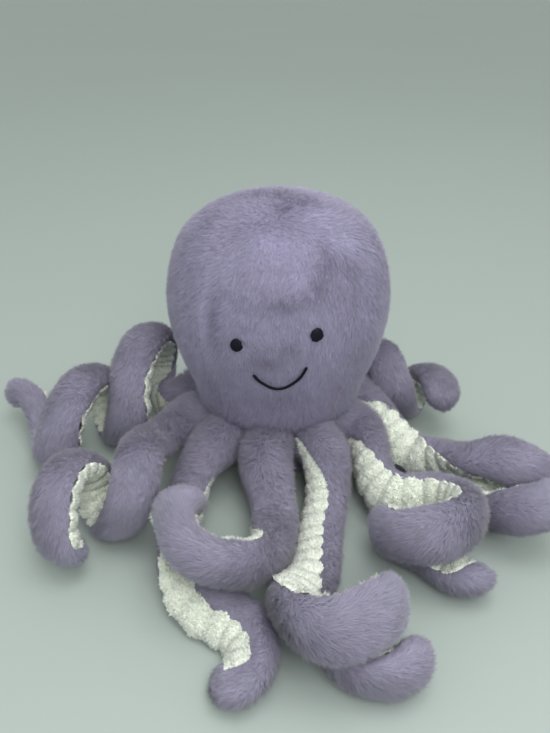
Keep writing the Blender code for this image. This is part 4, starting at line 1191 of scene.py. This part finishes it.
class OCTOPUS_OT_neck(bpy.types.Operator):
    """Fur tube round the neck and the round cloth panel that closes the base"""

    bl_idname = "octopus.neck"
    bl_label = "Neck and base"

    def execute(self, context):
        fur = context.scene.octopus_fur
        self.make_neck(fur)
        self.make_base(fur)
        return {"FINISHED"}

    def make_neck(self, fur):
        """A closed tube whose fur stands up and is long where it shows between the arms' roots."""
        rng = np.random.default_rng(NECK_SEED)
        height = np.linspace(NECK_HEIGHT, NECK_FOOT, NECK_ROWS)
        radius = np.full(NECK_ROWS, NECK_RADIUS)
        radius[-len(NECK_HEM):] = NECK_RADIUS - np.array(NECK_HEM)
        out = circle(NECK_COLUMNS)
        points = out * radius[:, None, None] + height[:, None, None] * UP
        patch = Patch.over(points, np.broadcast_to(out, points.shape), closed=True)
        flow = patch.down + ripples(points, NECK_SWIRL)[..., None] * np.cross(UP, out)
        high = np.repeat(smooth_step(height, *NECK_FRINGE_HEIGHTS)[:, None], NECK_COLUMNS, axis=1)
        length = fur.arm_pile * (NECK_PILE_SHARE + NECK_FRINGE_LENGTHENING * high)
        # Painted shade: the neck's pile is darkened under the head
        tone = ripples(points, NECK_TONE) + NECK_PAINTED_SHADE
        strands = grow_fur(
            patch, flow, length, tone, NECK_FRINGE_LIFT * high, fur.arm_density, fur.strand_width, rng)
        top = np.zeros((1, NECK_COLUMNS, 3)) + UP * NECK_HEIGHT
        bottom = np.zeros((1, NECK_COLUMNS, 3)) + UP * NECK_FOOT
        cloth = np.concatenate([top, points, bottom])
        cloth_normals = np.concatenate(
            [np.broadcast_to(UP, top.shape), patch.normals, np.broadcast_to(-UP, bottom.shape)])
        piece = furry_piece(
            "neck_fur", cloth, cloth_normals, NECK_CLOTH_PAINTED_SHADE, NECK_CLOTH_REACH, strands,
            bpy.data.materials["lilac_head_pile"])
        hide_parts("neck_tube", "bean_bag")
        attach(piece, BODY)

    def make_base(self, fur):
        """A flat cloth disc with a rolled edge, level with the CAD panel's underside."""
        out = circle(NECK_COLUMNS)
        points = np.stack([out * share * NECK_RADIUS + UP * height for share, height in BASE_SECTION])
        normals = unit(points - UP * BASE_THICKNESS / 2.0)
        piece = sheet("base_cloth", points, normals)
        piece.data.materials.append(base_cloth_material(fur))
        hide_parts("base_panel")
        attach(piece, BODY)


def root_swell(points, course, near_root):
    """The stuffing that is pushed up under the head raises an arm's upper side near its root."""
    above = unit(points - course.centre[:, None])[..., 2].clip(0.0, 1.0)
    return points + UP * (ROOT_SWELL * above * near_root)[..., None]


class OCTOPUS_OT_arm_fur(bpy.types.Operator):
    """Eight stuffed arms of longer lilac pile, combed from root to tip"""

    bl_idname = "octopus.arm_fur"
    bl_label = "Arm fur"

    def execute(self, context):
        fur = context.scene.octopus_fur
        material = fur_material(
            "lilac_arm_pile", fur.arm_tip_colour, fur.arm_shaded_root_colour, fur.contrast)
        for index, name in enumerate(ARMS):
            self.make_arm(name, Course(name), fur, material, index)
        return {"FINISHED"}

    def make_arm(self, name, course, fur, material, index):
        rng = np.random.default_rng(ARM_SEED + index)
        slot, turn = course.slot_angle()[:, None], course.slot_turn()[:, None]
        share = np.linspace(0.0, 1.0, RING_POINTS)[None, :]
        angles = turn + slot + (360.0 - 2.0 * slot) * share
        near_root = smooth_step(-course.station, *ROOT_REACH)[:, None]
        points = root_swell(course.ring(angles), course, near_root)
        down = np.broadcast_to(course.along[:, None], points.shape)
        patch = Patch(points, course.ring_normals(angles), down)
        round_ = unit(np.cross(patch.normals, patch.down))
        swirl = ripples(points, ARM_SWIRL, index)[..., None]
        flow = patch.down + round_ * swirl - UP * ARM_DROOP
        near_edge = (np.abs(share - 0.5) * 2.0) ** 4
        length = np.full(points.shape[:2], fur.arm_pile)
        shorter = 1.0 - EDGE_SHORTENING * near_edge
        length *= shorter * (1.0 + ripples(points, ARM_LENGTHS, index))
        length *= 1.0 + ROOT_LENGTHENING * near_root
        tone = ripples(points, ARM_TONE, index)
        off_table = smooth_step(points[..., 2], *TABLE_FADE)
        seen = off_table * smooth_step(-patch.normals[..., 2], *UNDERSIDE_FADE)
        weight = UNDER_ARM_SHARE + (1.0 - UNDER_ARM_SHARE) * seen
        lift = np.broadcast_to(ROOT_LIFT * near_root, tone.shape)
        strands = grow_fur(
            patch, flow, length, tone, lift, fur.arm_density, fur.strand_width, rng, weight)
        full = np.linspace(0.0, 360.0, CLOTH_POINTS, endpoint=False)[None, :]
        body = root_swell(course.ring(full, ARM_CLOTH_INSET), course, near_root)
        under_strip = np.abs((full - turn + 180.0) % 360.0 - 180.0) < slot
        sunk = course.ring(full, ARM_CLOTH_UNDER_STRIP)
        cloth = np.where(under_strip[..., None], sunk, body)
        cloth_normals = unit(cloth - course.centre[:, None])
        piece = furry_piece(
            name + "_fur", cloth, cloth_normals, 0.0, CLOTH_REACH, strands, material)
        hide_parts(name + "_cover", name + "_stuffing")
        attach(piece, name)


def rib_phase(station, pitch, index):
    """Counts the ribs along an arm; their pitch wanders a little."""
    drift = RIB_DRIFT * np.sin(station / RIB_DRIFT_LENGTH + index)
    jitter = RIB_JITTER * np.sin(station / RIB_JITTER_LENGTH + 2.0 * index)
    return station / pitch + drift + jitter


class OCTOPUS_OT_arm_strips(bpy.types.Operator):
    """The ribbed chenille strip along the underside of every arm"""

    bl_idname = "octopus.arm_strips"
    bl_label = "Chenille strips"

    def execute(self, context):
        chenille = context.scene.octopus_chenille
        material = chenille_material(chenille)
        for index, name in enumerate(ARMS):
            self.make_strip(name, Course(name), chenille, material, index)
        return {"FINISHED"}

    def make_strip(self, name, course, chenille, material, index):
        rng = np.random.default_rng(STRIP_SEED + index)
        fine = course.refined(STRIP_STEP)
        slot = fine.slot_angle()[:, None]
        used = slot[:, 0] > LEAST_SHOWN_ANGLE
        share = np.linspace(-1.0, 1.0, STRIP_COLUMNS)[None, :]
        angles = fine.slot_turn()[:, None] + slot * share
        points = fine.ring(angles)
        out = unit(points - fine.centre[:, None])
        phase = rib_phase(fine.station, chenille.rib_pitch, index)
        rib = np.abs(np.sin(math.pi * phase))[:, None] ** RIB_POWER
        room = np.clip(slot / SLOT_HALF_ANGLE, LEAST_RIB_SHARE, 1.0)
        crown = 1.0 - RIB_EDGE_DROP * np.abs(share) ** 3
        swell = chenille.rib_height * (rib - RIB_GROUND_SHARE) * crown * room
        swell = swell + ripples(points, STRIP_ROUGHNESS, index)
        side = np.sign(share) * np.abs(share) ** 6
        scallop = side * (EDGE_SCALLOP * (rib - RIB_GROUND_SHARE) * room)
        points = points + out * swell[..., None]
        points = points + fine.across[:, None] * scallop[..., None]
        points, out = above_table(points[used], STRIP_LIFT), out[used]
        patch = Patch.over(points, out)
        edge = np.broadcast_to(np.abs(share) ** 4, points.shape[:2])
        crease_shading = np.broadcast_to(rib[used], points.shape[:2])
        # Tone: painted shade in the rib creases, random tone, and lighter towards the strip's edges
        tone = ((crease_shading - MIDDLE_RIB_SHARE) * RIB_CREASE_SHADE + ripples(points, STRIP_TONE, index)
                + edge * EDGE_TONE)
        inside = fine.ring(angles, STRIP_INSET)[used][:, ::-1]
        cloth = np.concatenate([points, inside], axis=1)
        cloth_normals = np.concatenate([patch.normals, -out[:, ::-1]], axis=1)
        cloth_tone = np.concatenate([tone, tone[:, ::-1]], axis=1)
        piece = furry_piece(
            name + "_chenille", cloth, cloth_normals, cloth_tone, STRIP_REACH,
            self.loops(patch, tone, edge, chenille, rng), material)
        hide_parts(name + "_underside")
        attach(piece, name)

    def loops(self, patch, tone, edge, chenille, rng):
        """Short loops, each a small three-sided nub that leans its own way."""
        row, column = patch.scatter(patch.held(chenille.nap_density), rng)
        roots = patch.read(patch.points, row, column)
        normals = unit(patch.read(patch.normals, row, column))
        count = len(roots)
        way = rng.normal(size=roots.shape)
        way = unit(way - dot(way, normals) * normals)
        height = chenille.nap_length * rng.uniform(*LOOP_HEIGHT_SHARES, count)
        height = height * (1.0 + LOOP_EDGE_LENGTHENING * patch.read(edge, row, column))
        radius = chenille.nap_width / 2.0 * rng.uniform(*LOOP_RADIUS_SHARES, count)
        lean = way * (height * rng.uniform(0.0, LOOP_LEAN, count))[:, None]
        tones = patch.read(tone, row, column) + rng.normal(size=count) * LOOP_TONE
        tips = roots + normals * height[:, None] + lean
        return cones(roots - normals * LOOP_SINK, tips, radius, normals, LOOP_BULGE, tones, rng)


class OCTOPUS_OT_stage(bpy.types.Operator):
    """Plain pale floor, soft studio light and the camera at the photograph's angle"""

    bl_idname = "octopus.stage"
    bl_label = "Stage"

    def execute(self, context):
        scene = context.scene
        stage = scene.octopus_stage
        self.make_floor(stage)
        self.make_lights(scene, stage)
        self.make_camera(scene)
        scene.view_settings.view_transform = "Standard"
        return {"FINISHED"}

    def make_floor(self, stage):
        """A wide flat sheet, whose edge lies beyond the picture on every side."""
        points = circle(FLOOR_COLUMNS) * np.array(FLOOR_RINGS)[:, None, None]
        floor = sheet("floor", points, np.broadcast_to(UP, points.shape))
        floor.data.materials.append(floor_material(stage))

    def make_lights(self, scene, stage):
        """Even light from all round and two soft square lamps."""
        world = bpy.data.worlds.new("studio")
        scene.world = world
        world.use_nodes = True
        sky = world.node_tree.nodes["Background"]
        sky.inputs["Color"].default_value = SKY_COLOUR
        sky.inputs["Strength"].default_value = stage.sky_strength
        for name, place, size, share in LAMPS:
            lamp = bpy.data.lights.new(name, "AREA")
            lamp.size = size
            lamp.energy = stage.lamp_power * share
            holder = bpy.data.objects.new(name, lamp)
            holder.location = place
            aim = Vector(LAMP_TARGET) - Vector(place)
            holder.rotation_euler = aim.to_track_quat("-Z", "Y").to_euler()
            scene.collection.objects.link(holder)

    def make_camera(self, scene):
        lens = bpy.data.cameras.new("camera")
        lens.sensor_fit = "VERTICAL"
        lens.sensor_height = SENSOR_HEIGHT
        lens.lens = LENS_SHARE * SENSOR_HEIGHT
        lens.clip_start = CAMERA_CLIP
        camera = bpy.data.objects.new("camera", lens)
        camera.location = CAMERA_PLACE
        camera.rotation_euler = (math.radians(90.0 - CAMERA_PITCH), 0.0, 0.0)
        scene.collection.objects.link(camera)
        scene.camera = camera


class OCTOPUS_PT_panel(bpy.types.Panel):
    """Lists the octopus's settings and pieces in the sidebar"""

    bl_idname = "OCTOPUS_PT_panel"
    bl_label = "Plush Octopus"
    bl_space_type = "VIEW_3D"
    bl_region_type = "UI"
    bl_category = "Octopus"

    def draw(self, context):
        for operator in OPERATORS:
            self.layout.operator(operator.bl_idname)
        for name, settings in SETTINGS.items():
            box = self.layout.box()
            for key in settings.__annotations__:
                box.prop(getattr(context.scene, name), key)


OPERATORS = (
    OCTOPUS_OT_head, OCTOPUS_OT_face, OCTOPUS_OT_neck, OCTOPUS_OT_arm_fur, OCTOPUS_OT_arm_strips,
    OCTOPUS_OT_stage,
)
SETTINGS = {
    "octopus_fur": FurSettings, "octopus_chenille": ChenilleSettings, "octopus_face": FaceSettings,
    "octopus_stage": StageSettings,
}


def register():
    for kind in (*SETTINGS.values(), *OPERATORS, OCTOPUS_PT_panel):
        bpy.utils.register_class(kind)
    for name, settings in SETTINGS.items():
        setattr(bpy.types.Scene, name, PointerProperty(type=settings))


def unregister():
    for name in SETTINGS:
        delattr(bpy.types.Scene, name)
    for kind in (OCTOPUS_PT_panel, *reversed(OPERATORS), *reversed(SETTINGS.values())):
        bpy.utils.unregister_class(kind)


def main():
    register()
    for operator in OPERATORS:
        group, _, name = operator.bl_idname.partition(".")
        getattr(getattr(bpy.ops, group), name)()


if __name__ == "__main__":
    main()
